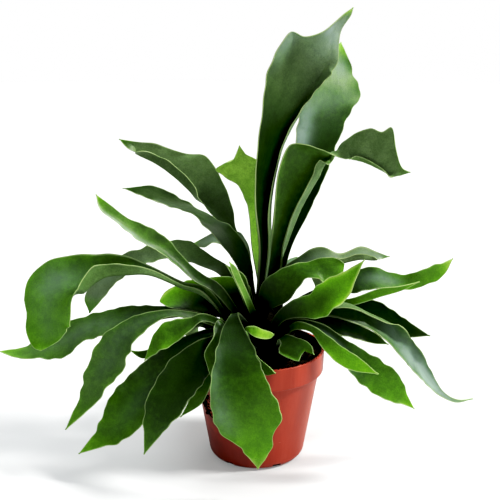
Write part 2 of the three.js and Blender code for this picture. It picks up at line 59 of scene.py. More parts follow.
# What a frond is like unless FRONDS says otherwise. Lengths are in millimetres, places along it in shares
# from root to tip, and places across it run from -1 at the left margin to 1 at the right one.
#   ribs: left and right edge of the blade from the crown out, as seen on the upper face looking towards the
#       tip; the last one is a single point where the frond ends in a tip
#   cup: how far the blade is channelled, in degrees from root to tip
#   wave: height, number and start of the waves along the edges
#   lobes: reach of a broken tip from left to right
#    youth: how yellow-green it is at root and tip: 0 is grown, 1 is new growth, and below 0 is old and dark,
#        which is also painted shade on fronds that lie in shade; the lime near 1 partly paints light shining
#        through
#   margin_youth: how much younger the margins look than the middle
#    olive: how olive grey it is at root and tip; on some fronds it is raised as painted light where they lie
#        in shade
#    bloom: patches of grey-blue down on the upper face, partly painted sheen and highlights: place along and
#        across, reach along and across, strength
#   folds: margins that fold over the face as a flap: side, width, turn in degrees (below 0 it goes over the
#       lower face), and the places between which the fold grows, holds and fades
PLAIN = {
    "cup": (45, 22, 12, 10), "wave": (0.8, 2, 0), "lobes": (), "youth": (-0.05, 0.2), "margin_youth": 0.1,
    "olive": (0, 0), "bloom": (), "folds": (),
}
FRONDS = {
    "frond_rim_small": {
        "youth": (0.1, 0.4),
        "ribs": [[-5, -60, 123, -10, -58, 121], [1, -66, 115, -5, -66, 112], [7, -73, 112, 2, -72, 105],
          [12, -77, 109, 8, -76, 103], [15, -79, 106]],
    },
    "frond_soil_curled": {
        "youth": (0.9, 1.05),
        "ribs": [[-9, -57, 137, -9, -57, 134], [-2, -59, 139, -3, -61, 131], [5, -59, 136, 4, -62, 129],
          [11, -59, 134, 11, -61, 129], [14, -60, 132]],
    },
    "frond_soil_lobed": {
        "lobes": (4, 2, 0, 3, 8, 7, 5, 3, 0), "youth": (-0.1, 0.1),
        "ribs": [[24, -48, 127, 18, -50, 124], [37, -58, 127, 20, -57, 121], [44, -62, 124, 18, -60, 120],
          [46, -64, 120, 18, -62, 117]],
    },
    "frond_front_big": {
        "cup": (30, 14, 8, 8), "wave": (2, 2.4, 0.15), "youth": (-0.2, 0.75), "margin_youth": 0.15,
        "bloom": [(0.66, 0.72, 0.09, 0.3, 0.5), (0.5, 0.85, 0.07, 0.2, 0.3)],
        "ribs": [[-15, -54, 148, -20, -52, 146], [-11, -65, 140, -27, -62, 139],
          [-5, -75, 132, -30, -71, 130], [1, -88, 123, -33, -83, 117], [6, -96, 112, -36, -92, 95],
          [13, -102, 99, -35, -96, 78], [20, -104, 82, -29, -98, 63], [14, -102, 67, -16, -98, 55],
          [11, -98, 47, -7, -96, 43], [1, -94, 30]],
    },
    "frond_front_narrow": {
        "ribs": [[-24, -52, 134, -31, -50, 140], [-25, -60, 131, -35, -56, 137],
          [-25, -68, 123, -36, -64, 130], [-25, -75, 116, -42, -68, 119], [-28, -80, 106, -39, -74, 107],
          [-33, -80, 94]],
    },
    "frond_front_left_dark": {
        "wave": (1.2, 2, 0.5), "youth": (-0.3, 0.1),
        "ribs": [[-25, -54, 117, -29, -48, 127], [-36, -68, 105, -47, -58, 126],
          [-43, -78, 97, -68, -64, 113], [-51, -84, 87, -82, -68, 95], [-61, -88, 73, -90, -72, 76],
          [-74, -88, 60, -91, -76, 58], [-92, -82, 36]],
    },
    "frond_front_left_inner": {
        "ribs": [[-27, -46, 111, -34, -44, 116], [-35, -56, 96, -44, -52, 101], [-40, -60, 82, -51, -56, 85],
          [-47, -60, 70, -57, -58, 72], [-64, -58, 58]],
    },
    "frond_front_left_low": {
        "wave": (1.6, 2.2, 0.1), "youth": (-0.1, 0.45),
        "bloom": [(0.6, -0.2, 0.14, 0.4, 0.1)],
        "ribs": [[-36, -46, 122, -38, -42, 131], [-55, -56, 106, -64, -48, 124],
          [-70, -62, 88, -86, -50, 110], [-82, -68, 71, -106, -52, 92], [-94, -70, 56, -122, -54, 75],
          [-112, -70, 41, -131, -58, 55], [-129, -68, 35, -138, -60, 41], [-150, -62, 26]],
    },
    "frond_left_small": {
        "youth": (0.05, 0.4), "margin_youth": 0.3,
        "ribs": [[-42, -54, 141, -42, -52, 147], [-53, -60, 136, -55, -56, 145],
          [-66, -64, 126, -68, -58, 144], [-76, -66, 121, -79, -60, 139], [-83, -64, 116, -86, -60, 127],
          [-92, -62, 110]],
    },
    "frond_left_narrow": {
        "ribs": [[-48, -30, 128, -48, -28, 133], [-69, -38, 117, -70, -36, 123],
          [-86, -42, 107, -88, -40, 113], [-97, -42, 104, -99, -40, 110], [-108, -40, 111]],
    },
    "frond_left_broad": {
        "wave": (1.6, 2.2, 0.2), "youth": (0.1, 0.75),
        "bloom": [(0.62, 0.3, 0.1, 0.5, 0.5), (0.78, -0.2, 0.07, 0.6, 0.15)],
        "folds": [(-1, 14, 160, 0.08, 0.2, 0.4, 0.72)],
        "ribs": [[-44, -32, 155, -41, -28, 161], [-64, -34, 164, -63, -30, 168],
          [-88, -38, 175, -89, -30, 181], [-108, -40, 176, -111, -30, 190], [-126, -42, 174, -133, -28, 190],
          [-141, -46, 163, -158, -26, 188], [-148, -50, 153, -177, -26, 182],
          [-151, -52, 140, -193, -30, 166], [-156, -51, 131, -193, -38, 130],
          [-163, -50, 123, -190, -41, 119], [-172, -48, 117, -186, -44, 114], [-181, -46, 112]],
    },
    "frond_left_drooping": {
        "wave": (1.6, 3, 0.2), "youth": (0.1, 0.35), "olive": (0.05, 0.15),
        "bloom": [(0.6, 0.1, 0.22, 0.7, 0.2)],
        "ribs": [[-45, -41, 135, -44, -37, 141], [-68, -52, 144, -67, -46, 148],
          [-84, -58, 140, -89, -48, 146], [-96, -62, 129, -109, -48, 140], [-103, -64, 116, -128, -48, 125],
          [-109, -66, 102, -137, -50, 107], [-120, -68, 91, -145, -54, 90], [-131, -68, 75, -148, -58, 75],
          [-160, -62, 48]],
    },
    "frond_left_long": {
        "wave": (2.2, 3.2, 0), "youth": (0, 0.35), "olive": (0.05, 0.15),
        "bloom": [(0.62, 0, 0.2, 0.6, 0.3)],
        "ribs": [[-49, -12, 130, -48, -8, 138], [-75, -14, 130, -76, -8, 139],
          [-104, -18, 124, -104, -6, 138], [-125, -22, 117, -126, -4, 135], [-146, -22, 111, -151, -2, 128],
          [-167, -22, 97, -174, 0, 117], [-189, -20, 95, -195, 0, 105], [-208, -14, 91, -212, -2, 98],
          [-228, -8, 97]],
    },
    "frond_left_bright": {
        "cup": (40, 30, 30, 20), "youth": (0.05, 0.38), "olive": (0, 0.25),
        "bloom": [(0.75, -0.9, 0.2, 0.25, 0.6)],
        "ribs": [[-36, -34, 159, -30, -30, 164], [-52, -34, 169, -45, -30, 174],
          [-68, -34, 183, -59, -28, 185], [-83, -34, 195, -73, -26, 201], [-100, -38, 207, -87, -30, 213],
          [-115, -40, 221, -106, -34, 223], [-127, -42, 232, -119, -38, 235], [-130, -40, 244]],
    },
    "frond_pale_narrow": {
        "youth": (0.55, 0.7), "olive": (0.3, 0.5),
        "ribs": [[-10, -40, 153, -5, -38, 155], [-16, -40, 168, -12, -38, 171],
          [-21, -38, 179, -17, -36, 182], [-23, -36, 187]],
    },
    "frond_centre_short": {
        "ribs": [[-15, -24, 158, -7, -22, 161], [-21, -24, 171, -12, -22, 173], [-26, -24, 181]],
    },
    "frond_right_notched": {
        "wave": (1, 2, 0), "youth": (0.05, 0.2),
        "ribs": [[3, -24, 157, 15, -32, 146], [9, -26, 170, 28, -38, 155], [25, -26, 179, 39, -38, 171],
          [40, -26, 184, 50, -38, 172], [55, -26, 188, 56, -36, 169], [67, -26, 187, 66, -33, 174],
          [73, -28, 183, 72, -30, 177]],
    },
    "frond_right_bright": {
        "wave": (1.2, 1.8, 0.2), "youth": (-0.05, 0.8), "margin_youth": 0.75,
        "ribs": [[16, -46, 145, 22, -50, 140], [28, -52, 158, 35, -58, 146], [43, -54, 165, 51, -64, 147],
          [54, -54, 176, 63, -66, 156], [67, -54, 182, 74, -64, 167], [76, -54, 187, 79, -60, 179],
          [86, -56, 194]],
    },
    "frond_right_low_bright": {
        "youth": (0.25, 0.6),
        "ribs": [[33, -57, 142, 31, -58, 135], [46, -68, 142, 43, -68, 137], [57, -74, 136, 51, -74, 128],
          [70, -78, 127, 61, -80, 118], [82, -78, 119, 75, -82, 110], [97, -80, 106]],
    },
    "frond_right_low": {
        "wave": (1.4, 2.5, 0.1), "youth": (-0.05, 0.5),
        "bloom": [(0.42, 0.6, 0.12, 0.6, 0.8)],
        "ribs": [[36, -44, 140, 34, -46, 134], [55, -52, 138, 52, -54, 130], [71, -56, 128, 65, -58, 118],
          [88, -58, 118, 76, -64, 101], [105, -58, 107, 89, -68, 89], [118, -58, 95, 105, -66, 78],
          [125, -58, 79, 120, -62, 72], [131, -60, 67]],
    },
    "frond_right_curled": {
        "cup": (40, 40, 36, 20), "wave": (1, 3, 0),
        "bloom": [(0.68, 0.1, 0.16, 0.9, 1.2), (0.85, 0, 0.12, 1.2, 0.9)],
        "folds": [(-1, 7, 150, 0.12, 0.22, 0.46, 0.6)],
        "ribs": [[38, -37, 144, 38, -39, 138], [57, -39, 151, 58, -41, 142], [74, -38, 152, 77, -42, 137],
          [92, -36, 143, 96, -42, 128], [109, -34, 134, 110, -42, 116], [127, -30, 120, 123, -38, 101],
          [140, -28, 103, 135, -34, 87], [152, -24, 83, 147, -28, 74], [163, -20, 66, 160, -22, 62],
          [176, -17, 57, 176, -18, 54], [191, -14, 56]],
    },
    "frond_right_under": {
        "youth": (-0.7, -0.5),
        "ribs": [[39, -16, 131, 40, -18, 125], [56, -16, 133, 58, -20, 122], [74, -14, 131, 73, -20, 117],
          [91, -12, 123, 89, -18, 112], [104, -12, 116, 102, -16, 108], [115, -12, 106]],
    },
    "frond_right_strip": {
        "youth": (0.3, 0.8),
        "ribs": [[38, -23, 141, 39, -25, 136], [62, -26, 149, 64, -28, 143], [82, -28, 154, 84, -29, 148],
          [102, -29, 162, 105, -29, 155], [118, -29, 164, 122, -28, 160], [136, -29, 168]],
    },
    "frond_right_long": {
        "wave": (1, 2.2, 0), "youth": (-0.2, 0.8),
        "bloom": [(0.55, -0.1, 0.09, 0.55, 0.6)],
        "ribs": [[33, -8, 145, 35, -10, 139], [59, -10, 160, 61, -14, 150], [81, -10, 171, 83, -20, 155],
          [100, -10, 175, 101, -22, 159], [119, -12, 170, 118, -20, 158], [132, -16, 172, 132, -18, 158],
          [146, -18, 179, 148, -16, 163], [156, -18, 182, 159, -15, 170], [166, -16, 185]],
    },
    "frond_right_dark": {
        "wave": (1, 2, 0.5), "youth": (-0.8, -0.5),
        "ribs": [[38, 8, 136, 41, 6, 129], [63, 14, 138, 65, 10, 127], [85, 18, 137, 85, 12, 121],
          [107, 20, 136, 103, 12, 115], [125, 20, 125, 120, 12, 107], [139, 18, 116, 136, 14, 103],
          [157, 16, 104]],
    },
    "frond_upright_back": {
        "wave": (2, 2, 0.4), "youth": (-0.4, 0.6), "olive": (-0.1, 0.2),
        "bloom": [(0.42, -0.75, 0.18, 0.42, 1.7), (0.68, 0.1, 0.1, 0.8, 0.3), (0.84, 0.3, 0.06, 0.6, 0.6)],
        "ribs": [[16, 10, 185, 29, 14, 185], [23, 14, 216, 45, 18, 218], [28, 16, 246, 58, 22, 249],
          [32, 12, 281, 68, 30, 279], [35, 16, 305, 80, 34, 303], [41, 26, 323, 90, 40, 317],
          [51, 38, 341, 84, 48, 333], [61, 50, 354, 78, 54, 349], [74, 62, 362]],
    },
    "frond_right_back": {
        "wave": (1, 2, 0), "youth": (-0.1, 0), "olive": (0, 1.3),
        "bloom": [(0.6, 0, 0.25, 0.6, 0.5), (0.85, 0, 0.15, 1, 0.5)],
        "folds": [(1, 7, 158, 0.35, 0.45, 0.82, 0.94)],
        "ribs": [[21, 6, 166, 26, 2, 159], [36, 12, 178, 43, 6, 167], [54, 18, 186, 59, 10, 171],
          [74, 20, 180, 75, 14, 172], [92, 22, 186, 91, 16, 175], [106, 22, 181, 106, 18, 174],
          [118, 20, 177]],
    },
    "frond_back_left": {
        "wave": (1, 1.5, 0.2), "youth": (0.7, 0.8), "olive": (1.2, 1.8),
        "bloom": [(0.6, 0, 0.4, 1, 0.8)],
        "ribs": [[-13, 14, 160, -5, 18, 167], [-21, 18, 174, -7, 24, 184], [-28, 20, 183, -15, 30, 195],
          [-38, 22, 189, -31, 30, 198], [-48, 24, 184, -45, 30, 193], [-59, 28, 186]],
    },
    "frond_back_bright": {
        "wave": (1.5, 2, 0.2), "youth": (1.05, 1.5),
        "ribs": [[-5, 30, 180, 4, 34, 179], [-8, 40, 211, 4, 45, 212], [-13, 45, 227, 6, 50, 231],
          [-19, 47, 237, 7, 54, 244], [-32, 48, 245, 4, 55, 253], [-37, 48, 251, -2, 54, 259],
          [-30, 48, 257, -7, 53, 262], [-22, 49, 260, -11, 52, 265], [-16, 50, 272]],
    },
    "frond_upright_front": {
        "cup": (30, 20, 14, 12), "wave": (2, 2.2, 0.1), "youth": (-0.55, 0.75), "olive": (-0.1, 1.2),
        "bloom": [(0.8, 0.3, 0.16, 0.9, 0.9), (0.8, -0.6, 0.05, 0.35, 0.9), (0.6, -0.9, 0.08, 0.25, 0.8)],
        "folds": [(1, 9, 160, 0.05, 0.12, 0.32, 0.84)],
        "ribs": [[1, -18, 191, 10, -12, 190], [-3, -20, 230, 11, -8, 234], [-3, -22, 270, 19, -2, 275],
          [1, -22, 310, 31, 2, 300], [5, -19, 337, 40, 6, 317], [15, -15, 357, 49, 6, 333],
          [26, -11, 371, 58, 5, 341], [38, -9, 368, 65, 3, 348], [51, -8, 372, 66, 2, 361],
          [61, -6, 379, 69, 0, 374], [69, -5, 385, 75, -2, 384], [77, -4, 390]],
    },
    "frond_upright_flag": {
        "wave": (1, 2, 0), "youth": (0.15, 0.35), "olive": (0.12, 0.75),
        "folds": [(1, 14, 160, 0.06, 0.14, 0.4, 0.56), (-1, 7, -150, 0.56, 0.64, 0.7, 0.97)],
        "ribs": [[9, -6, 188, 23, 0, 189], [12, -10, 221, 33, 2, 216], [15, -12, 258, 42, 4, 235],
          [25, -10, 281, 52, 4, 252], [42, -13, 283, 57, 1, 263], [54, -17, 279, 61, -3, 269],
          [62, -19, 274, 63, -7, 275], [72, -19, 270, 71, -12, 284], [81, -20, 269, 80, -18, 291],
          [91, -21, 266, 91, -24, 295], [101, -20, 261, 100, -28, 293], [108, -19, 257, 108, -30, 296],
          [114, -18, 256, 112, -27, 280], [119, -18, 256, 118, -22, 264], [126, -20, 259]],
    },
    "frond_left_high": {
        "wave": (2, 2.4, 0.3), "youth": (0, -0.05), "olive": (0.3, 0.6),
        "folds": [(-1, 10, 162, 0.3, 0.6, 0.7, 0.98)],
        "ribs": [[-17, 30, 173, -8, 36, 175], [-33, 40, 198, -20, 48, 195], [-48, 46, 213, -24, 56, 214],
          [-61, 50, 229, -33, 62, 238], [-76, 52, 243, -47, 64, 260], [-93, 54, 255, -69, 64, 263],
          [-107, 54, 262, -92, 62, 271], [-117, 54, 268, -108, 58, 274], [-125, 56, 277]],
    },
    "frond_left_middle": {
        "wave": (1.2, 2, 0.6), "youth": (-0.32, -0.2), "olive": (0, 0.2),
        "ribs": [[-16, 4, 167, -5, 10, 171], [-27, 6, 185, -11, 14, 189], [-44, 8, 204, -23, 18, 203],
          [-58, 10, 216, -39, 22, 212], [-72, 10, 221, -57, 22, 223], [-89, 12, 228, -75, 20, 233],
          [-104, 14, 234, -92, 20, 240], [-117, 16, 239]],
    },
    "frond_left_arched": {
        "wave": (1, 2, 0), "youth": (0.4, 0.6), "olive": (0.5, 1.1),
        "bloom": [(0.82, 0, 0.25, 1, 0.3)],
        "ribs": [[-31, 6, 161, -22, 12, 165], [-47, 10, 169, -40, 18, 177], [-65, 12, 174, -62, 24, 190],
          [-83, 12, 175, -84, 26, 188], [-98, 10, 172, -106, 24, 181], [-112, 8, 165, -126, 22, 173],
          [-126, 6, 154, -143, 18, 157], [-135, 4, 142, -154, 14, 142], [-149, 6, 128]],
    },
    "shield_frond": {
        "cup": (10, 12, 14, 14), "youth": (-0.9, 0.9), "margin_youth": 0.9,
        "ribs": [[-44, -22, 137, -7, -8, 140], [-66, -24, 142, -5, -7, 150], [-78, -24, 145, -9, -8, 160],
          [-83, -22, 150, -25, -10, 167], [-76, -20, 158, -45, -12, 166], [-60, -16, 165]],
    },
    "frond_rear_left": {
        "wave": (1.8, 2.4, 0.3),
        "bloom": [(0.6, 0.2, 0.15, 0.5, 0.6)],
        "ribs": [[-24, 24, 130, -16, 30, 130], [-40, 36, 138, -26, 48, 138], [-55, 50, 130, -36, 70, 132],
          [-65, 64, 110, -46, 86, 112], [-70, 76, 86, -54, 94, 90], [-70, 84, 66, -62, 92, 68],
          [-68, 90, 54]],
    },
    "frond_rear_left_inner": {
        "wave": (1.4, 2, 0.1), "youth": (0.3, 0.7),
        "bloom": [(0.55, 0, 0.15, 0.5, 0.5)],
        "ribs": [[-13, 28, 134, -3, 30, 134], [-20, 47, 143, -4, 52, 143], [-29, 70, 143, -4, 79, 145],
          [-37, 94, 130, -8, 105, 134], [-40, 114, 106, -16, 122, 112], [-38, 124, 82, -23, 128, 86],
          [-32, 131, 62]],
    },
    "frond_rear_middle": {
        "wave": (1.2, 2, 0.6), "lobes": (2, 7, 9, 5, 0, 4, 8, 5, 1),
        "ribs": [[0, 32, 122, 9, 31, 122], [-2, 53, 127, 14, 51, 127], [-4, 77, 118, 22, 74, 118],
          [-4, 97, 96, 28, 94, 98], [1, 108, 72, 30, 106, 76], [6, 113, 58, 29, 111, 62]],
    },
    "frond_rear_right": {
        "wave": (1.8, 2.6, 0.4),
        "bloom": [(0.5, -0.3, 0.15, 0.5, 0.7)],
        "ribs": [[12, 30, 134, 21, 26, 134], [22, 56, 152, 37, 46, 152], [33, 84, 156, 56, 68, 157],
          [48, 108, 142, 74, 90, 146], [62, 124, 112, 86, 108, 120], [74, 130, 82, 90, 120, 90],
          [82, 132, 62]],
    },
    "frond_rear_right_low": {
        "wave": (1.2, 2, 0.2), "youth": (0.1, 0.6),
        "ribs": [[24, 25, 110, 31, 17, 110], [36, 40, 110, 47, 27, 109], [49, 55, 104, 62, 37, 104],
          [61, 68, 88, 77, 49, 90], [73, 77, 68, 85, 61, 72], [82, 81, 52]],
    },
}

# Where stalks leave the crown: a leaf spiral over a dome, of which each frond takes the nearest free place
SPIRAL = {"count": 90, "lowest": 0.2, "turn": 137.508}
CROWN = {"radius": 36, "height": 42, "foot": 94, "sunk": 8, "rings": 36, "sides": 120}
STALK = {"half_width": 3, "depth": 6, "rise": 6, "thickness": 2.6, "share": 0.35}
BLADE_THICKNESS = 1.0
EDGE_THINNING = 0.45  # share by which a margin is thinner than the middle
NARROWEST = 0.6  # least half width
NARROW_FROND = 16  # below this width a frond has half the columns
LOBES_FROM = 0.6  # share of the length where a lobed tip starts
SIDE_SHIFT = 0.35  # share of a wave by which the left margin is ahead of the right one
FULL_WAVE_WIDTH = 8  # half width from which waves have their full height
FOLD_RADIUS = 1.1
WIDEST_FOLD = 1.15  # in half widths

# Fine relief of every blade
SPINE_STEPS = 400
RIPPLE = {"height": 0.8, "length": 21, "narrowest": 6}
BUCKLE = {"height": 1.1, "along": 30, "across": 27}
RAGGED = {"reach": 0.8, "length": 17}

#  Where a blade's colours change: shares of its length for growth, olive and the tip, and millimetres, with
#  their greatest share, for the dark stalk, partly painted shade, and for the painted shade near the crown
GROWN_OUT = (0.25, 1.0)
MARGIN_OUT = (0.3, 0.6)
OLIVE_IN, OLIVE_OUT = (0.25, 0.85), (0.86, 0.97)
TIP_FROM, TIP_YOUTH = 0.86, 0.35
DARK_STALK = (12, 66, 0.5)
CROWN_SHADE = ((45, 0.3), (130, 0.8))

#  Colours mixed into a blade's green, and tints that multiply it. The crown tint is painted shade; the tint
#  for old fronds is also painted shade on fronds that lie in shade, and lime partly paints light shining
#  through
LIME, OLIVE_GREY = (0.42, 0.68, 0.12), (0.20, 0.28, 0.13)
TINT = {
    "old_and_shaded": (0.3, 0.32, 0.28), "patch": (0.5, 0.56, 0.45), "cloud": (0.62, 0.68, 0.55),
    "grain": (0.6, 0.64, 0.6), "speck": (0.25, 0.25, 0.2), "crown": (0.3, 0.34, 0.25),
    "vein": (0.55, 0.6, 0.5), "felted_vein": (1.4, 1.45, 1.2)}
#  The same for the pot's red: streaks, patches, scuffs, near black for dirt, dark patches and painted shade
#  in the notches, and the tint of painted shade low on the pot's left
STREAK_RED, PATCH_RED, SCUFF_RED = (0.60, 0.12, 0.07), (0.32, 0.035, 0.02), (0.66, 0.27, 0.19)
POT_DIRT_AND_SHADE, LEFT_FOOT_SHADE_TINT = (0.012, 0.007, 0.005), (0.42, 0.25, 0.3)
# Dark and light of earthy things
CROWN_BROWNS = ((0.0025, 0.002, 0.001), (0.012, 0.009, 0.004))
FIBRE_BROWNS = ((0.05, 0.028, 0.014), (0.12, 0.075, 0.04))
GRIT_BROWNS = ((0.10, 0.07, 0.045), (0.34, 0.27, 0.2))

# The pot: radii of the body's top, the foot, the mouth and the floor, rounding of the foot, height of the
# collar, thickness of the floor
POT = {"body": 55.5, "base": 43, "mouth": 57.4, "floor": 40, "heel": 8, "collar": 20, "wall": 2}
NOTCHES = {"count": 6, "first": -65, "size": (12, 8, 9)}
SOIL_FLOOR = 39.7
SOIL_RINGS, SOIL_SIDES = 44, 128

# Fine relief of crown and soil, and what is strewn on them and on the pot: how many, lengths in millimetres,
# places round the pot in degrees as a middle and a spread
CROWN_RELIEF = {"lump": 2.2, "scale": 0.5, "sunk": 0.4}
CROWN_BITS = {
    "count": 620, "scale_every": 5, "lean": 0.9, "hair": (2.5, 6), "scale": (3, 7), "width": (1.5, 3)}
SOIL_RELIEF = {"crumbly": 1.5, "heaped": 1.2}
CRUMB_SIZES = (1.0, 1.3, 1.6, 2.2, 3.2)
SOIL_FIBRES = {"count": 50, "length": (3, 8)}
FIBRE_WIDTH, HAIR_WIDTH = 0.5, 0.35
RIM_CRUMBS = {"count": 150, "at": (-52, 16), "share_there": 0.6, "radius": (57.2, 59.2), "size": (0.5, 1.5)}
SMEAR = {"count": 260, "at": (212, 4.5), "height": 56, "reach": 6.5, "size": (0.8, 2.6)}
GRIT = {"count": 90, "at": (-50, 22), "radius": (48, 56.8), "size": (0.4, 1.0)}

# The studio: strength of the sky low down and high up, glow of the floor, and the view's contrast as pairs of
# level and shown level
SKY_LIGHT = (0.38, 0.56)
FLOOR_GLOW = 0.15
BLACK_LEVEL = 0.008
CONTRAST = ((0.05, 0.042), (0.3, 0.38), (0.7, 0.78))
# Key light from far off (azimuth 0 is from +X, 90 from +Y) and soft light from above, in degrees and metres
KEY = {"azimuth": -6, "elevation": 46, "spread": 11, "power": 4.6}
TOP = {"place": (0.1, 0.6, 1.5), "target": (0, 0, 0.15), "size": 0.9, "power": 14}
# The camera, fitted to the pot: metres, degrees, and the focal length in pixels of a picture 500 wide
CAMERA = {
    "place": (0, -0.7303, 0.3717), "down": 14.13, "turn": 0.48, "focal": 870.5, "width": 500, "sensor": 36}


# ---- sizes and colours a user would change ----
def colour_property(name, description, default):
    return bpy.props.FloatVectorProperty(
        name=name, description=description, subtype="COLOR", size=3, min=0, max=1, default=default)


class FernLeafSettings(bpy.types.PropertyGroup):
    grown: colour_property("Grown green", "Upper face of a grown frond", (0.023, 0.070, 0.003))
    young: colour_property("Young green", "Upper face of new growth", (0.19, 0.46, 0.012))
    felt: colour_property("Felted underside", "Lower face, pale with fine down", (0.15, 0.22, 0.10))
    # grey-blue down on the upper face, partly painted sheen and highlights
    bloom: colour_property("Bloom", "Grey-blue down left in patches on the upper face", (0.25, 0.34, 0.29))
    margin: colour_property("Margin", "The thin pale line round a blade", (0.36, 0.46, 0.22))
    # near black foot of a stalk: partly its own darker colour, partly painted shade
    dark_stalk_and_shade: colour_property("Stalk base", "Near black at the foot of a stalk", (0.002, 0.004, 0.001))
    row_length: bpy.props.FloatProperty(
        name="Row length", description="Length of a row of faces along a frond", unit="LENGTH",
        default=2.2 * MM, min=1 * MM, max=10 * MM)
    columns: bpy.props.IntProperty(
        name="Columns", description="Faces across a wide frond", default=28, min=8, max=60)


class FernPotSettings(bpy.types.PropertyGroup):
    plastic: colour_property("Plastic", "Terracotta red of the moulded pot", (0.335, 0.042, 0.019))
    fillet: bpy.props.FloatProperty(
        name="Fillet", description="Rounding of the rim and of the collar's lower edge", unit="LENGTH",
        default=1.0 * MM, min=0.2 * MM, max=2 * MM)
    sides: bpy.props.IntProperty(
        name="Sides", description="Faces round the pot", default=144, min=24, max=256)


class FernSoilSettings(bpy.types.PropertyGroup):
    peat: colour_property("Peat", "Damp potting soil", (0.009, 0.006, 0.004))
    bark: colour_property("Bark", "Bits of bark and fibre in the soil", (0.045, 0.023, 0.011))
    crumbs: bpy.props.IntProperty(
        name="Crumbs", description="Loose crumbs on the soil", default=1300, min=0, max=5000)


SETTINGS = {"fern_leaf": FernLeafSettings, "fern_pot": FernPotSettings, "fern_soil": FernSoilSettings}


# ---- small helpers ----
def smoothstep(x, low, high):
    t = np.clip((np.asarray(x, float) - low) / (high - low), 0, 1)
    return t * t * (3 - 2 * t)


def length_of(vectors):
    return np.sqrt((vectors * vectors).sum(axis=-1, keepdims=True))


def unit(vectors):
    return vectors / np.maximum(length_of(vectors), 1e-9)


def round_z(radius, angle, z):
    return radius * math.cos(angle), radius * math.sin(angle), z


def deselect():
    if bpy.context.object and bpy.context.object.mode != "OBJECT":
        bpy.ops.object.mode_set(mode="OBJECT")
    bpy.ops.object.select_all(action="DESELECT")


def pick(piece):
    deselect()
    bpy.context.view_layer.objects.active = piece
    piece.select_set(True)


@contextlib.contextmanager
def editing():
    """Edit mode with everything selected."""
    bpy.ops.object.mode_set(mode="EDIT")
    bpy.ops.mesh.select_all(action="SELECT")
    yield
    bpy.ops.object.mode_set(mode="OBJECT")


def name_new(name, piece=None):
    piece = piece or bpy.context.object
    piece.name = name
    piece.data.name = name
    return piece


def apply_modifiers(piece):
    pick(piece)
    for modifier in list(piece.modifiers):
        bpy.ops.object.modifier_apply(modifier=modifier.name)


def corners_of(piece):
    points = np.empty(len(piece.data.vertices) * 3)
    piece.data.vertices.foreach_get("co", points)
    return points.reshape(-1, 3)


def move_corners(piece, points):
    piece.data.vertices.foreach_set("co", np.asarray(points, float).ravel())
    piece.data.update()


def point_values(piece, name, values):
    attribute = piece.data.attributes.new(name, "FLOAT", "POINT")
    attribute.data.foreach_set("value", np.asarray(values, float))


def settle(piece, smooth, slot, *nodes):
    """Smooth shading up to an angle in degrees, the piece's body, and its replaced nodes hidden; slot is not
    used.
    """
    pick(piece)
    bpy.ops.object.shade_smooth_by_angle(angle=math.radians(smooth))
    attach(piece, "root")
    if nodes:
        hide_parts(*nodes)


def turned(name, profile, sides):
    """A closed turned body: a disc is added, and its edge is extruded and scaled from ring to ring."""
    deselect()
    (radius, height), *rest = profile
    bpy.ops.mesh.primitive_circle_add(vertices=sides, radius=radius, fill_type="TRIFAN")
    piece = name_new(name)
    with editing():
        bpy.ops.transform.translate(value=(0, 0, height))
        bpy.ops.mesh.region_to_loop()
        for next_radius, next_height in rest:
            bpy.ops.mesh.extrude_edges_move(TRANSFORM_OT_translate={"value": (0, 0, next_height - height)})
            scale = next_radius / radius
            bpy.ops.transform.resize(value=(scale, scale, 1), center_override=(0, 0, next_height))
            radius, height = next_radius, next_height
        bpy.ops.mesh.edge_face_add()
        bpy.ops.mesh.poke()
        bpy.ops.mesh.select_all(action="SELECT")
        bpy.ops.mesh.normals_make_consistent(inside=False)
    return piece


def chips(seeds, jag=0.35):
    """Uneven lumps a unit across, to be scattered."""
    lumps = []
    for seed in seeds:
        deselect()
        bpy.ops.mesh.primitive_ico_sphere_add(subdivisions=1, radius=0.5)
        lumps.append(name_new("chip"))
        rng = random.Random(seed)
        points = corners_of(lumps[-1])
        move_corners(lumps[-1], points * [[1 + rng.uniform(-jag, jag)] for _ in points])
    return lumps


def fibre():
    """A thin tapered hair a unit long from the origin along +Z, with a slight bend."""
    deselect()
    bpy.ops.mesh.primitive_cone_add(vertices=4, radius1=0.5, radius2=0.12, depth=1)
    piece = name_new("fibre")
    with editing():
        bpy.ops.transform.translate(value=(0, 0, 0.5))
        bpy.ops.mesh.bisect(plane_co=(0, 0, 0.5), plane_no=(0, 0, 1))
    points = corners_of(piece)
    points[:, 0] += 0.9 * points[:, 2] ** 2
    move_corners(piece, points)
    return piece


def drawn(rng, span):
    """A random length from a span in millimetres."""
    return rng.uniform(*span) * MM


def tumble(rng):
    return Euler([rng.uniform(0, 6.3) for _ in range(3)]).to_quaternion()


def scattered(name, templates, places, material):
    """One mesh with a copy of one of the templates at each place: (position, turn, size)."""
    points, faces, start = [], [], 0
    shapes = [(corners_of(t), [tuple(p.vertices) for p in t.data.polygons]) for t in templates]
    for i, (position, turn, size) in enumerate(places):
        corners, polygons = shapes[i % len(shapes)]
        points.append((corners * np.array(size)) @ np.array(turn.to_matrix()).T + np.array(position))
        faces.extend(tuple(start + v for v in face) for face in polygons)
        start += len(corners)
    for template in templates:
        bpy.data.objects.remove(template)
    mesh = bpy.data.meshes.new(name)
    mesh.from_pydata(np.concatenate(points).tolist(), [], faces)
    mesh.materials.append(material)
    piece = bpy.data.objects.new(name, mesh)
    bpy.context.scene.collection.objects.link(piece)
    return piece


def joined(pieces, name):
    pick(pieces[0])
    for piece in pieces:
        piece.select_set(True)
    bpy.ops.object.join()
    return name_new(name, pieces[0])


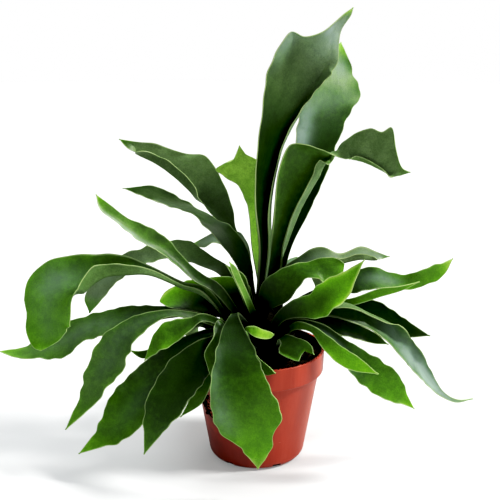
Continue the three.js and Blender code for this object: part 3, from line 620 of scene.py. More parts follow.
# ---- material helpers ----
class Wire:
    """An output of a node, with short calls for the nodes that it goes into."""

    def __init__(self, tree, socket):
        self.tree, self.socket = tree, socket

    def maths(self, operation, *others, clamp=False):
        inputs = dict(enumerate((self, *others)))
        return made(self.tree, "ShaderNodeMath", 0, inputs, operation=operation, use_clamp=clamp)

    def __add__(self, other):
        return self.maths("ADD", other)

    def __mul__(self, other):
        return self.maths("MULTIPLY", other)

    def __sub__(self, other):
        return self.maths("SUBTRACT", other)

    def __rsub__(self, number):
        return made(self.tree, "ShaderNodeMath", 0, {0: number, 1: self}, operation="SUBTRACT")

    def between(self, low, high, to_low=0.0, to_high=1.0):
        inputs = dict(enumerate((self, low, high, to_low, to_high)))
        return made(self.tree, "ShaderNodeMapRange", 0, inputs, interpolation_type="SMOOTHSTEP")

    def blend(self, first, second, kind="MIX"):
        inputs = {0: self, 6: first, 7: second}
        return made(self.tree, "ShaderNodeMix", 2, inputs, data_type="RGBA", blend_type=kind)

    def bump(self, strength, distance):
        inputs = {"Height": self, "Strength": strength, "Distance": distance}
        return made(self.tree, "ShaderNodeBump", 0, inputs)

    def clouds(self, scale, detail=3.0, roughness=0.55, distortion=0.0):
        inputs = {
            "Vector": self, "Scale": scale, "Detail": detail,
            "Roughness": roughness, "Distortion": distortion}
        return made(self.tree, "ShaderNodeTexNoise", "Fac", inputs)

    def cells(self, scale, feature, randomness=1.0):
        inputs = {"Vector": self, "Scale": scale, "Randomness": randomness}
        return made(self.tree, "ShaderNodeTexVoronoi", "Distance", inputs, feature=feature)

    def stretched(self, scale):
        return made(self.tree, "ShaderNodeMapping", 0, {"Vector": self, "Scale": scale})

    def axes(self):
        parts = made(self.tree, "ShaderNodeSeparateXYZ", 0, {0: self}).socket.node.outputs
        return [Wire(self.tree, parts[axis]) for axis in "XYZ"]

    def grain(self, scale=1.0):
        return shared("Grain", {"Where": self, "Scale": scale}, grain_parts)


def feed(tree, value, socket):
    """Links a socket to a wire, or sets its value."""
    if isinstance(value, Wire):
        tree.links.new(value.socket, socket)
    elif hasattr(value, "__len__"):
        socket.default_value = (*value, 1)[:len(socket.default_value)]
    else:
        socket.default_value = value


def made(tree, kind, output, inputs, **settings):
    """One output of a new node with its settings and its named or numbered inputs."""
    shader = tree.nodes.new(kind)
    for key, value in settings.items():
        setattr(shader, key, value)
    for key, value in inputs.items():
        feed(tree, value, shader.inputs[key])
    return Wire(tree, shader.outputs[output])


def object_place(tree):
    return made(tree, "ShaderNodeTexCoord", "Object", {})


def attribute(tree, name):
    return made(tree, "ShaderNodeAttribute", "Fac", {}, attribute_name=name)


def seen(tree):
    return made(tree, "ShaderNodeLightPath", "Is Camera Ray", {})


def material_from(name, parts_of, *values):
    """The material of that name; for a new one parts_of says what feeds each socket of its surface."""
    material = bpy.data.materials.get(name)
    if material is None:
        material = bpy.data.materials.new(name)
        material.use_nodes = True
        tree = material.node_tree
        surface = tree.nodes["Principled BSDF"]
        for key, value in parts_of(tree, *values).items():
            feed(tree, value, surface.inputs[key])
    return material


def shared(name, given, parts_of):
    """Outputs of a node group that materials share; parts_of says what feeds each of them."""
    group = bpy.data.node_groups.get(name)
    if group is None:
        group = bpy.data.node_groups.new(name, "ShaderNodeTree")
        for key, value in given.items():
            kind = "Vector" if isinstance(value, Wire) else "Float"
            group.interface.new_socket(key, in_out="INPUT", socket_type="NodeSocket" + kind)
        entry = group.nodes.new("NodeGroupInput").outputs
        parts = parts_of(*(Wire(group, entry[key]) for key in given))
        for key in parts:
            group.interface.new_socket(key, in_out="OUTPUT", socket_type="NodeSocketFloat")
        result = group.nodes.new("NodeGroupOutput")
        for key, value in parts.items():
            feed(group, value, result.inputs[key])
    tree = next(iter(given.values())).tree
    shader = tree.nodes.new("ShaderNodeGroup")
    shader.node_tree = group
    for key, value in given.items():
        feed(tree, value, shader.inputs[key])
    return [Wire(tree, socket) for socket in shader.outputs]


def vein_parts(blade):
    """Forking veins and puckers between them, on a blade's own UV map in decimetres."""
    where = blade.stretched((26, 6.5, 1))
    coarse, fine = where.cells(1.0, "DISTANCE_TO_EDGE", 0.9), where.cells(2.6, "DISTANCE_TO_EDGE")
    vein = coarse.between(0.0, 0.075, 1.0, 0.0).maths("MAXIMUM", fine.between(0.0, 0.09, 0.5, 0.0))
    return {"Vein": vein, "Pucker": coarse.between(0.0, 0.4)}


def grain_parts(where, scale):
    """Cloudy patches and even speckle for a rough natural surface."""
    where = made(where.tree, "ShaderNodeVectorMath", 0, {0: where, "Scale": scale}, operation="SCALE")
    return {"Patch": where.clouds(55.0, 4.0), "Speckle": where.clouds(900.0, 2.0, 0.7)}


# ---- materials ----
def leaf_colour(where, patch, colours, felted):
    """Green of a blade, mottled, old to young by youth; painted shade on shaded fronds and towards the crown.
    """
    age, olive, inner = (attribute(where.tree, name) for name in ("youth", "olive", "inner"))
    spots = where.clouds(260.0, 2.0, 0.5)
    mottle = patch.between(0.3, 0.7, -0.08, 0.1) + spots.between(0.35, 0.7, -0.04, 0.05)
    green = age.maths("ADD", mottle, clamp=True).blend(colours.grown, colours.young)
    # lime for new growth, partly painted light where light shines through a young frond
    green = age.between(0.9, 1.25).blend(green, LIME)
    # the tint for old fronds, also painted shade on fronds that lie in shade
    green = age.between(-0.6, 0.05, 0.4 if felted else 0.9, 0.0).blend(green, TINT["old_and_shaded"], "MULTIPLY")
    # olive grey, on some fronds raised as painted light where they lie in shade
    green = olive.blend(green, OLIVE_GREY)
    if felted:
        green = age.between(0.7, 1.2, 0.7, 0.2).blend(green, colours.felt)
    specks = where.cells(230.0, "F1").between(0.06, 0.13, 0.6, 0.0) * spots.between(0.45, 0.6)
    for factor, tint in (
            (patch.between(0.35, 0.7, 0.0, 0.6), "patch"),
            (where.clouds(95.0, 3.0, 0.6).between(0.38, 0.62, 0.0, 0.6), "cloud"),
            (where.clouds(850.0, 3.0, 0.7).between(0.36, 0.64, 0.0, 0.6), "grain"),
            # last: painted shade that darkens the blade near the crown
            (specks, "speck"), (inner * (0.15 if felted else 0.62), "crown")):
        green = factor.blend(green, TINT[tint], "MULTIPLY")
    return green


def leaf_face(tree, colours, felted):
    """Upper face with veins, down that partly paints sheen, a pale line inside the margin, or the felted face
    below.
    """
    age, inner, foot, inset, bloom = (
        attribute(tree, name) for name in ("youth", "inner", "foot", "inset", "bloom"))
    where = object_place(tree)
    patch = where.grain(0.45)[0]
    vein, pucker = shared(
        "Leaf veins", {"Blade": made(tree, "ShaderNodeUVMap", 0, {}, uv_map="blade")}, vein_parts)
    green = leaf_colour(where, patch, colours, felted)
    green = (vein * 0.13).blend(green, TINT["felted_vein" if felted else "vein"], "MULTIPLY")
    if not felted:
        # grey-blue down, partly painted sheen and highlights on the upper face
        down = where.clouds(60.0, 4.0, 0.6, 0.3).between(0.25, 0.6, 0.35, 0.75) * bloom
        green = down.maths("MINIMUM", 0.85).blend(green, colours.bloom)
    line = inset.between(0.0002, 0.0009, 0.6, 0.0) * inner.between(0.1, 0.9, 1.0, 0.35)
    # the stalk foot fades to near black: partly the stalk's own dark colour, partly painted shade
    green = foot.maths("POWER", 2.0 if felted else 1.0).blend(line.blend(green, colours.margin), colours.dark_stalk_and_shade)
    return {
        "Base Color": green,
        "Roughness": patch.between(0.3, 0.75, *((0.66, 0.8) if felted else (0.42, 0.54))),
        "Normal": (pucker * 0.2 + where.clouds(1400.0, 2.0, 0.6) * 0.4).bump(0.5, 0.0006),
        "Specular IOR Level": age.between(-0.6, 0.0, 0.04, 0.1 if felted else 0.2),
        "Sheen Weight": 0.1 if felted else 0.015, "Sheen Roughness": 0.45, "Sheen Tint": (0.8, 0.95, 0.9),
        "Subsurface Weight": 0.1, "Subsurface Radius": (0.3, 0.6, 0.1), "Subsurface Scale": 0.002,
    }


def leaf_margin(tree, colours):
    patch = object_place(tree).grain()[0]
    green = attribute(tree, "youth").between(0.0, 0.9).blend(colours.grown, colours.young)
    green = patch.between(0.3, 0.7, 0.5, 0.8).blend(green, colours.margin)
    # painted shade towards the crown
    green = attribute(tree, "inner").blend(green, TINT["crown"], "MULTIPLY")
    # near black stalk foot, partly its own colour and partly painted shade
    green = attribute(tree, "foot").blend(green, colours.dark_stalk_and_shade)
    return {"Base Color": green, "Roughness": 0.55, "Specular IOR Level": 0.2}


def dirt_and_notch_shade(where, leftward):
    """How much the pot darkens: wet soil inside the rim, dark patches on its left, and painted shade in the
    notches.
    """
    mouth, heel, core = (length * MM for length in (POT["mouth"], POT["heel"], POT["base"] - POT["heel"]))
    x, y, height = where.axes()
    radius = (x * x + y * y).maths("SQRT")
    wall = radius.between(mouth, mouth + 0.7 * MM, 1.0, 0.0) * height.between(0.082, 0.084)
    wall = wall * where.clouds(160.0).between(0.3, 0.5, 0.7, 1.0)
    # painted shade in the drainage notches, standing in for the dark drain holes
    rise = heel - height
    within = (heel**2 - rise * rise).maths("SQRT") + core - radius
    low = height.between(0.0002, 0.0004) * height.between(0.0048, 0.0052, 1.0, 0.0)
    # darker patches towards the pot's left
    dark_left_patches = leftward.between(0.82, 1.0, 0.0, 0.5) * where.clouds(75.0).between(0.35, 0.6)
    return dark_left_patches.maths("MAXIMUM", wall.maths("MAXIMUM", within.between(0.0003, 0.0008) * low))


def pot_plastic(tree, colours):
    """Satin terracotta-red plastic with faint streaks, moulded grain, scuffs, soil and dark patches on its
    left, with painted shade in the drainage notches and low on its left.
    """
    where = object_place(tree)
    x, y, height = where.axes()
    leftward = x * -17.0 + y * -10.6
    streaks = where.stretched((420, 420, 9)).clouds(1.0, 3.0, 0.6)
    scuffs = where.stretched((60, 60, 420)).clouds(1.0, 4.0, 0.7, 0.4)
    patch, speckle = where.grain(0.5)
    # painted shade: the pot darker low on its left, where it lies in shade
    left_foot_shade = leftward.between(0.3, 0.65, 0.0, 0.8) * height.between(0.015, 0.055, 1.0, 0.25)
    red = streaks.between(0.35, 0.7, 0.0, 0.12).blend(colours.plastic, STREAK_RED)
    red = patch.between(0.4, 0.75, 0.0, 0.25).blend(red, PATCH_RED)
    red = scuffs.between(0.66, 0.74, 0.0, 0.3).blend(red, SCUFF_RED)
    red = left_foot_shade.blend(red, LEFT_FOOT_SHADE_TINT, "MULTIPLY")
    return {
        # near black for soil inside the rim, dark patches on the left and painted shade in the notches
        "Base Color": dirt_and_notch_shade(where, leftward).blend(red, POT_DIRT_AND_SHADE),
        "Roughness": streaks.between(0.3, 0.7, 0.42, 0.48) + scuffs.between(0.6, 0.75, 0.0, 0.2),
        "Normal": (streaks * 0.7 + speckle * 0.3).bump(0.06, 0.0004), "Specular IOR Level": 0.3,
        "Subsurface Weight": 0.06, "Subsurface Radius": (1.0, 0.25, 0.15), "Subsurface Scale": 0.002,
    }


def earth(tree, dark, light):
    """Damp peat or bark: near black with brown flecks and a rough, crumbly relief."""
    where = object_place(tree)
    patch, speckle = where.grain()
    crumbs = where.clouds(420.0, 5.0, 0.75)
    brown = crumbs.between(0.5, 0.72).blend(dark, light)
    return {
        "Base Color": patch.between(0.4, 0.7, 0.0, 0.6).blend(brown, dark),
        "Roughness": speckle.between(0.3, 0.7, 0.8, 1.0), "Specular IOR Level": 0.12,
        "Normal": (crumbs + speckle * 0.5).bump(0.9, 0.0012)}


def peat(context):
    colours = context.scene.fern_soil
    return material_from("peat", earth, colours.peat, colours.bark)


# ---- fronds ----
def dome_point(direction, outward=0.0):
    radii = np.array([CROWN["radius"], CROWN["radius"], CROWN["height"]], float)
    normal = unit(direction / radii)
    return direction * radii + (0, 0, CROWN["foot"]) + normal * outward, normal


def leaf_spiral():
    places = []
    for i in range(SPIRAL["count"]):
        z = 1 - (1 - SPIRAL["lowest"]) * ((i + 0.5) / SPIRAL["count"])
        places.append(np.array(round_z(math.sqrt(1 - z * z), math.radians(SPIRAL["turn"] * i), z)))
    return places


def rooted_edges():
    """Left and right edge of every frond in mm, its stalk's two ribs on the crown included."""
    free = leaf_spiral()
    edges = {}
    for name, shape in FRONDS.items():
        ribs = np.array([rib if len(rib) > 3 else rib * 2 for rib in shape["ribs"]], float).reshape(-1, 2, 3)
        wish = ribs[0].mean(axis=0) - (0, 0, CROWN["foot"])
        wish = unit(wish / (CROWN["radius"], CROWN["radius"], CROWN["height"]))
        free.sort(key=lambda place: np.linalg.norm(place - wish))
        direction = free.pop(0)
        normal = dome_point(direction)[1]
        across = ribs[0, 1] - ribs[0, 0]
        across = unit(across - normal * (across @ normal)) * STALK["half_width"]
        foot = [dome_point(direction, outward)[0] for outward in (-STALK["depth"], STALK["rise"])]
        edges[name] = np.concatenate([[[point - across, point + across] for point in foot], ribs])
    return edges


def along_list(values, share):
    values = np.array(values, float)
    where = share * (len(values) - 1)
    index = np.minimum(where.astype(int), len(values) - 2)
    return values[index] + (values[index + 1] - values[index]) * (where - index)


def edge_points(edges, where):
    """Left and right edge on smooth curves through the ribs; where counts ribs from the root."""
    index = np.clip(where.astype(int), 0, len(edges) - 2)
    ribs = np.concatenate([[2 * edges[0] - edges[1]], edges, [2 * edges[-1] - edges[-2]]])
    p, q, r, s = (ribs[index + i] for i in range(4))
    t = (where - index)[:, None, None]
    return 0.5 * (2 * q + (r - p) * t + (2 * p - 5 * q + 4 * r - s) * t**2 + (3 * q - p - 3 * r + s) * t**3)


def sections(edges, share):
    """Centre, directions and half width of a blade at each share of its length, in millimetres."""
    last = len(edges) - 1
    where = share * last
    sides = edge_points(edges, where)
    ahead = edge_points(edges, np.minimum(where + 0.02, last)).mean(axis=1)
    behind = edge_points(edges, np.maximum(where - 0.02, 0)).mean(axis=1)
    across = sides[:, 1] - sides[:, 0]
    half = length_of(across) / 2
    inside = edge_points(edges, np.full(1, last - 0.5))
    across = np.where(half < NARROWEST, inside[:, 1] - inside[:, 0], across)
    half = np.maximum(half, NARROWEST)
    along, across = unit(ahead - behind), unit(across)
    return sides.mean(axis=1), along, across, unit(np.cross(across, along)), half[:, 0]


def folded(fold, v, half, share, sideways, lift):
    """Sideways place and height of a section whose margin bends over and lies back on the face as a flap."""
    side, width, turn, grow, hold, ease, end = fold
    strength = smoothstep(share, grow, hold) * (1 - smoothstep(share, ease, end))
    width = np.minimum(width, WIDEST_FOLD * half)
    angle = np.maximum(math.radians(abs(turn)) * strength, 1e-3)
    radius = np.minimum(FOLD_RADIUS, 0.5 * width / angle)
    flap = width - radius * angle
    outermost = radius * np.sin(np.minimum(angle, math.pi / 2)) + np.maximum(0, flap * np.cos(angle))
    crease = 1 - width / half
    past = np.clip((v * side - crease) / (1 - crease), 0, 1) * width
    bent = np.minimum(past / radius, angle)
    straight = np.maximum(0, past - radius * angle)
    flat = (np.minimum(v * side, crease) + 1) / (crease + 1) * (2 * half - outermost) - half
    across = side * (flat + radius * np.sin(bent) + straight * np.cos(angle))
    height = math.copysign(1, turn) * (radius * (1 - np.cos(bent)) + straight * np.sin(angle))
    return np.where(strength > 0, across, sideways), lift + np.where(strength > 0, height, 0)


def shape_blade(shape, edges, v, share, seed):
    """The middle surface of a blade: points in mm, its half width and its distance along, per vertex."""
    centre, along, across, up, half = sections(edges, share)
    cup = np.tan(np.radians(along_list(shape["cup"], share)))
    height, count, start = shape["wave"]
    wave = height * np.sin(2 * math.pi * (count * share + start + np.where(v < 0, SIDE_SHIFT, 0.0)))
    fade = smoothstep(share, 0.2, 0.5) * np.minimum(1, half / FULL_WAVE_WIDTH)
    lift = v * v * (0.5 * half * cup + wave * fade)

    shares = np.linspace(0, 1, SPINE_STEPS)
    spine = sections(edges, shares)[0]
    steps = np.concatenate([[0], np.cumsum(length_of(np.diff(spine, axis=0))[:, 0])])
    distance = np.interp(share, shares, steps)
    fade = fade * np.clip(half / RIPPLE["narrowest"] - 0.5, 0, 1)
    phase = seed * 1.7 + np.where(v < 0, 2.1, 0.0)
    ripple = np.sin(2 * math.pi * distance / RIPPLE["length"] + phase + 1.3 * np.sin(distance / 19 + seed))
    spots = zip(distance / BUCKLE["along"], v * half / BUCKLE["across"])
    buckle = np.array([noise.noise(Vector((*spot, seed))) for spot in spots])
    lift = lift + fade * (RIPPLE["height"] * ripple * np.abs(v) ** 3 + BUCKLE["height"] * buckle)
    ragged = np.sin(2 * math.pi * distance / RAGGED["length"] + phase * 3) + np.sin(distance / 1.9 + seed)
    edge = 1 + RAGGED["reach"] * 0.5 * ragged * fade * smoothstep(np.abs(v), 0.5, 1) / half
    sideways = half * v * edge
    for fold in shape["folds"]:
        sideways, lift = folded(fold, v, half, share, sideways, lift)
    points = centre + across * sideways[:, None] + up * lift[:, None]
    if shape["lobes"]:
        reach = along_list(shape["lobes"], (v + 1) / 2) * smoothstep(share, LOBES_FROM, 1)
        points = points + along * reach[:, None]
    return points, half, distance, steps[-1]


def ramp(ends, share, places):
    return ends[0] + (ends[1] - ends[0]) * smoothstep(share, *places)


def colour_blade(piece, shape, v, share, half, distance, total, seed):
    """Point values that the leaf materials read, and the UV map that the veins follow."""
    youth = ramp(shape["youth"], share, GROWN_OUT) + 0.05 * math.sin(seed)
    margin = shape["margin_youth"] * v * v * smoothstep(share, *MARGIN_OUT)
    olive = np.maximum(0, ramp(shape["olive"], share, OLIVE_IN)) * (1 - smoothstep(share, *OLIVE_OUT))
    bloom = np.zeros(len(v))
    for at, side, along, across, strength in shape["bloom"]:
        bloom += strength * np.exp(-((share - at) / along) ** 2 - ((v - side) / across) ** 2)
    dark_to = min(DARK_STALK[1], DARK_STALK[2] * total)
    shade = [min(length, part * total) for length, part in CROWN_SHADE]
    point_values(piece, "youth", youth + margin + TIP_YOUTH * smoothstep(share, TIP_FROM, 1))
    point_values(piece, "olive", olive)
    point_values(piece, "bloom", bloom)
    point_values(piece, "inset", half * (1 - np.abs(v)) * MM)
    # foot: near black stalk base, partly its own colour and partly painted shade
    point_values(piece, "foot", 1 - smoothstep(distance, DARK_STALK[0], dark_to))
    # inner: painted shade that darkens a blade near the crown
    point_values(piece, "inner", 1 - smoothstep(distance, *shade))
    corner = np.empty(len(piece.data.loops), int)
    piece.data.loops.foreach_get("vertex_index", corner)
    metric = np.stack([half * v, distance], axis=1)[corner] / 100 + (seed, 0)
    piece.data.uv_layers[0].data.foreach_set("uv", metric.ravel())


def thicken(piece, v, share):
    body = STALK["thickness"] + (BLADE_THICKNESS - STALK["thickness"]) * smoothstep(share, 0, STALK["share"])
    group = piece.vertex_groups.new(name="thickness")
    for i, weight in enumerate(body * (1 - EDGE_THINNING * v * v) / STALK["thickness"]):
        group.add([i], float(weight), "REPLACE")
    solid = piece.modifiers.new("thickness", "SOLIDIFY")
    solid.thickness = STALK["thickness"] * MM
    solid.offset = 0
    solid.vertex_group = "thickness"
    solid.thickness_vertex_group = 0.01
    solid.material_offset = 1
    solid.material_offset_rim = 2
    apply_modifiers(piece)


def make_blade(name, edges, settings, materials):
    shape = PLAIN | FRONDS[name]
    seed = sum(map(ord, name)) % 97
    widest = max(np.linalg.norm(rib[1] - rib[0]) for rib in edges)
    spine = edges.mean(axis=1)
    long = sum(np.linalg.norm(b - a) for a, b in zip(spine, spine[1:]))
    rows = max(24, round(long * MM / settings.row_length))
    wide = widest > NARROW_FROND or shape["lobes"]
    columns = settings.columns if wide else max(10, settings.columns // 2)
    deselect()
    bpy.ops.mesh.primitive_grid_add(x_subdivisions=columns, y_subdivisions=rows, size=2, calc_uvs=True)
    piece = name_new(name.replace("frond", "blade"))
    piece.data.uv_layers[0].name = "blade"
    flat = corners_of(piece)
    v, share = np.clip(flat[:, 0], -1, 1), np.clip((flat[:, 1] + 1) / 2, 0, 1)
    points, half, distance, total = shape_blade(shape, edges, v, share, seed)
    move_corners(piece, points * MM)
    colour_blade(piece, shape, v, share, half, distance, total, seed)
    for material in materials:
        piece.data.materials.append(material)
    thicken(piece, v, share)
    young = any(word in name for word in ("bright", "shield", "pale"))
    settle(piece, 50, "young_frond" if young else "frond", name)


def group_of(name):
    for word in ("upright", "rear", "left", "right"):
        if word in name:
            return word
    return "middle"


class Maker:
    bl_options = {"REGISTER", "UNDO"}


class FrondMaker(Maker):
    """Shared by the operators that make a group of fronds."""
    part = ""

    def execute(self, context):
        leaf = context.scene.fern_leaf
        materials = (
            material_from("leaf upper face", leaf_face, leaf, False),
            material_from("leaf underside", leaf_face, leaf, True),
            material_from("leaf margin", leaf_margin, leaf))
        edges = rooted_edges()
        names = [name for name in FRONDS if group_of(name) == self.part]
        if not names:
            raise RuntimeError(f"no frond is in the group {self.part}")
        for name in names:
            make_blade(name, edges[name], leaf, materials)
        return {"FINISHED"}


class FERN_OT_upright(FrondMaker, bpy.types.Operator):
    """The tall fronds, one of which twists and flags to the right"""
    bl_idname = "fern.upright"
    bl_label = "Upright fronds"
    part = "upright"


class FERN_OT_left(FrondMaker, bpy.types.Operator):
    """The fronds that arch and hang to the left"""
    bl_idname = "fern.left"
    bl_label = "Left fronds"
    part = "left"


class FERN_OT_right(FrondMaker, bpy.types.Operator):
    """The fronds that arch and hang to the right"""
    bl_idname = "fern.right"
    bl_label = "Right fronds"
    part = "right"


class FERN_OT_middle(FrondMaker, bpy.types.Operator):
    """The shield frond, the big hanging frond and the small ones at the middle"""
    bl_idname = "fern.middle"
    bl_label = "Middle fronds"
    part = "middle"


class FERN_OT_rear(FrondMaker, bpy.types.Operator):
    """The fronds behind the pot"""
    bl_idname = "fern.rear"
    bl_label = "Rear fronds"
    part = "rear"


# ---- crown ----
class FERN_OT_crown(Maker, bpy.types.Operator):
    """The dark scaly mound that every stalk leaves"""
    bl_idname = "fern.crown"
    bl_label = "Crown"

    def execute(self, context):
        material = material_from("crown fibre", earth, *CROWN_BROWNS)
        radius, height, foot, sunk = (CROWN[key] * MM for key in ("radius", "height", "foot", "sunk"))
        rings = CROWN["rings"]
        profile = [(radius * 0.5, foot - sunk), (radius, foot - sunk), (radius, foot)]
        for i in range(1, rings):
            angle = math.pi / 2 * i / rings
            profile.append((radius * math.cos(angle), foot + height * math.sin(angle)))
        mound = turned("crown_mound", profile, CROWN["sides"])
        bumpy = []
        for point in map(Vector, corners_of(mound)):
            above = float(smoothstep(point.z, foot - 1 * MM, foot + 6 * MM))
            lump = noise.fractal(point * 90, 0.6, 2.2, 4) * CROWN_RELIEF["lump"] * MM
            scale = noise.cell(point * 160) * CROWN_RELIEF["scale"] * MM
            outward = (point - Vector((0, 0, foot))).normalized()
            bumpy.append(point + outward * ((lump + scale) * above - CROWN_RELIEF["sunk"] * MM))
        move_corners(mound, bumpy)
        mound.data.materials.append(material)
        rng = random.Random(11)
        scales, hairs = [], []
        lean = CROWN_BITS["lean"]
        for i in range(CROWN_BITS["count"]):
            z = rng.uniform(0.06, 0.98)
            angle = rng.uniform(0, 2 * math.pi)
            point, normal = dome_point(np.array(round_z(math.sqrt(1 - z * z), angle, z)))
            tilt = Euler((rng.uniform(-lean, lean), rng.uniform(-lean, lean), rng.uniform(0, 6.3)))
            turn = Vector(normal).to_track_quat("Z", "Y") @ tilt.to_quaternion()
            if i % CROWN_BITS["scale_every"]:
                size = (HAIR_WIDTH * MM, HAIR_WIDTH * MM, drawn(rng, CROWN_BITS["hair"]))
                hairs.append((point * MM, turn, size))
            else:
                long = drawn(rng, CROWN_BITS["scale"])
                scales.append((point * MM, turn, (drawn(rng, CROWN_BITS["width"]), 0.7 * MM, long)))
        husks = scattered("crown_scales", chips((3, 4, 5), 0.3), scales, material)
        down = scattered("crown_hairs", [fibre()], hairs, material)
        settle(joined([mound, husks, down], "crown_dressed"), 45, "crown", "crown")
        return {"FINISHED"}


# ---- soil ----
def soil_bump(x, y):
    spot = Vector((x, y, 0))
    crumbly = noise.fractal(spot * 110, 0.7, 2.1, 4) * SOIL_RELIEF["crumbly"] * MM
    return crumbly + noise.noise(spot * 30) * SOIL_RELIEF["heaped"] * MM


def on_soil(radius, angle, above):
    x, y, top = round_z(radius, angle, CROWN["foot"] * MM)
    return x, y, top + soil_bump(x, y) + above


class FERN_OT_soil(Maker, bpy.types.Operator):
    """Dark crumbly soil that fills the pot, with loose crumbs and bits of fibre"""
    bl_idname = "fern.soil"
    bl_label = "Soil"

    def execute(self, context):
        low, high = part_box("soil")
        top, mouth = CROWN["foot"] * MM, high.x
        rings = [(mouth * (1 - i / SOIL_RINGS), top) for i in range(SOIL_RINGS - 1)]
        bed = turned("soil_bed", [(SOIL_FLOOR * MM, low.z), *rings], SOIL_SIDES)
        bed.data.materials.append(peat(context))
        points = corners_of(bed)
        for point in points:
            if point[2] > top - 1e-5:
                inside = float(smoothstep(math.hypot(point[0], point[1]), mouth, mouth - 2 * MM))
                point[2] += soil_bump(point[0], point[1]) * (0.2 + 0.8 * inside)
        move_corners(bed, points)
        rng = random.Random(7)
        crumbs, fibres = [], []
        for _ in range(context.scene.fern_soil.crumbs):
            radius = math.sqrt(rng.uniform((CROWN["radius"] - 3) ** 2, 55**2)) * MM
            angle = rng.uniform(0, 2 * math.pi)
            size = rng.choice(CRUMB_SIZES) * rng.uniform(0.7, 1.2) * MM
            crumbs.append((
                on_soil(radius, angle, size * 0.15), tumble(rng),
                (size, size * rng.uniform(0.6, 1), size * rng.uniform(0.5, 0.9))))
        for _ in range(SOIL_FIBRES["count"]):
            radius = drawn(rng, (CROWN["radius"], 52))
            angle = rng.uniform(0, 2 * math.pi)
            turn = Euler((math.pi / 2 + rng.uniform(-0.25, 0.1), 0, rng.uniform(0, 6.3))).to_quaternion()
            size = (FIBRE_WIDTH * MM, FIBRE_WIDTH * MM, drawn(rng, SOIL_FIBRES["length"]))
            fibres.append((on_soil(radius, angle, 0.6 * MM), turn, size))
        litter = scattered("soil_crumbs", chips(range(5)), crumbs, peat(context))
        settle(joined([bed, litter], "soil_dressed"), 40, "soil", "soil")
        brown = material_from("root fibre", earth, *FIBRE_BROWNS)
        settle(scattered("soil_fibres", [fibre()], fibres, brown), 180, "soil")
        return {"FINISHED"}


# ---- pot ----
def rounded(corner, before, after, radius, steps=5):
    """Points of a small arc that rounds a corner of a profile."""
    corner, before, after = (Vector(p) for p in (corner, before, after))
    start = corner + (before - corner).normalized() * radius
    end = corner + (after - corner).normalized() * radius
    shares = (i / steps for i in range(steps + 1))
    return [tuple(start.lerp(corner, t).lerp(corner.lerp(end, t), t)) for t in shares]


class FERN_OT_pot(Maker, bpy.types.Operator):
    """The moulded plastic pot: collar, rolled rim, tapered wall and drainage notches"""
    bl_idname = "fern.pot"
    bl_label = "Pot"

    def execute(self, context):
        settings = context.scene.fern_pot
        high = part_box("pot")[1]
        rim, height, fillet = high.x, high.z, settings.fillet
        body, base, mouth, floor, edge, collar, wall = (value * MM for value in POT.values())
        shoulder = height - collar
        angles = (i * math.pi / 16 for i in range(9))
        heel = [(base - edge * (1 - math.sin(angle)), edge * (1 - math.cos(angle))) for angle in angles]
        under = (rim - 0.9 * MM, shoulder)
        profile = [
            *heel,
            *rounded((body, shoulder), heel[-1], under, fillet * 0.9),
            *rounded(under, (body, shoulder), (rim, height), fillet * 1.6, 8),
            *rounded((rim, height), under, (mouth, height), fillet, 6),
            *rounded((mouth, height), (rim, height), (floor, wall), fillet * 0.8, 6),
            *[(floor + (mouth - floor) * t, wall + (height - wall) * t) for t in (0.8, 0.4, 0)],
        ]
        pot = turned("pot_dressed", profile, settings.sides)
        for i in range(NOTCHES["count"]):
            deselect()
            bpy.ops.mesh.primitive_cube_add(size=1)
            notch = name_new("notch")
            with editing():
                bpy.ops.mesh.bevel(offset=0.08, segments=3, affect="EDGES")
            turn = Matrix.Rotation(math.radians(NOTCHES["first"] + 360 / NOTCHES["count"] * i), 4, "Z")
            size = Matrix.Diagonal([*(side * MM for side in NOTCHES["size"]), 1])
            notch.matrix_world = turn @ Matrix.Translation((base, 0, 0)) @ size
            cut = pot.modifiers.new("notch", "BOOLEAN")
            cut.object = notch
            cut.solver = "EXACT"
            apply_modifiers(pot)
            bpy.data.objects.remove(notch)
        pot.data.materials.clear()
        pot.data.materials.append(material_from("pot plastic", pot_plastic, settings))
        settle(pot, 28, "pot_plastic", "pot")
        return {"FINISHED"}


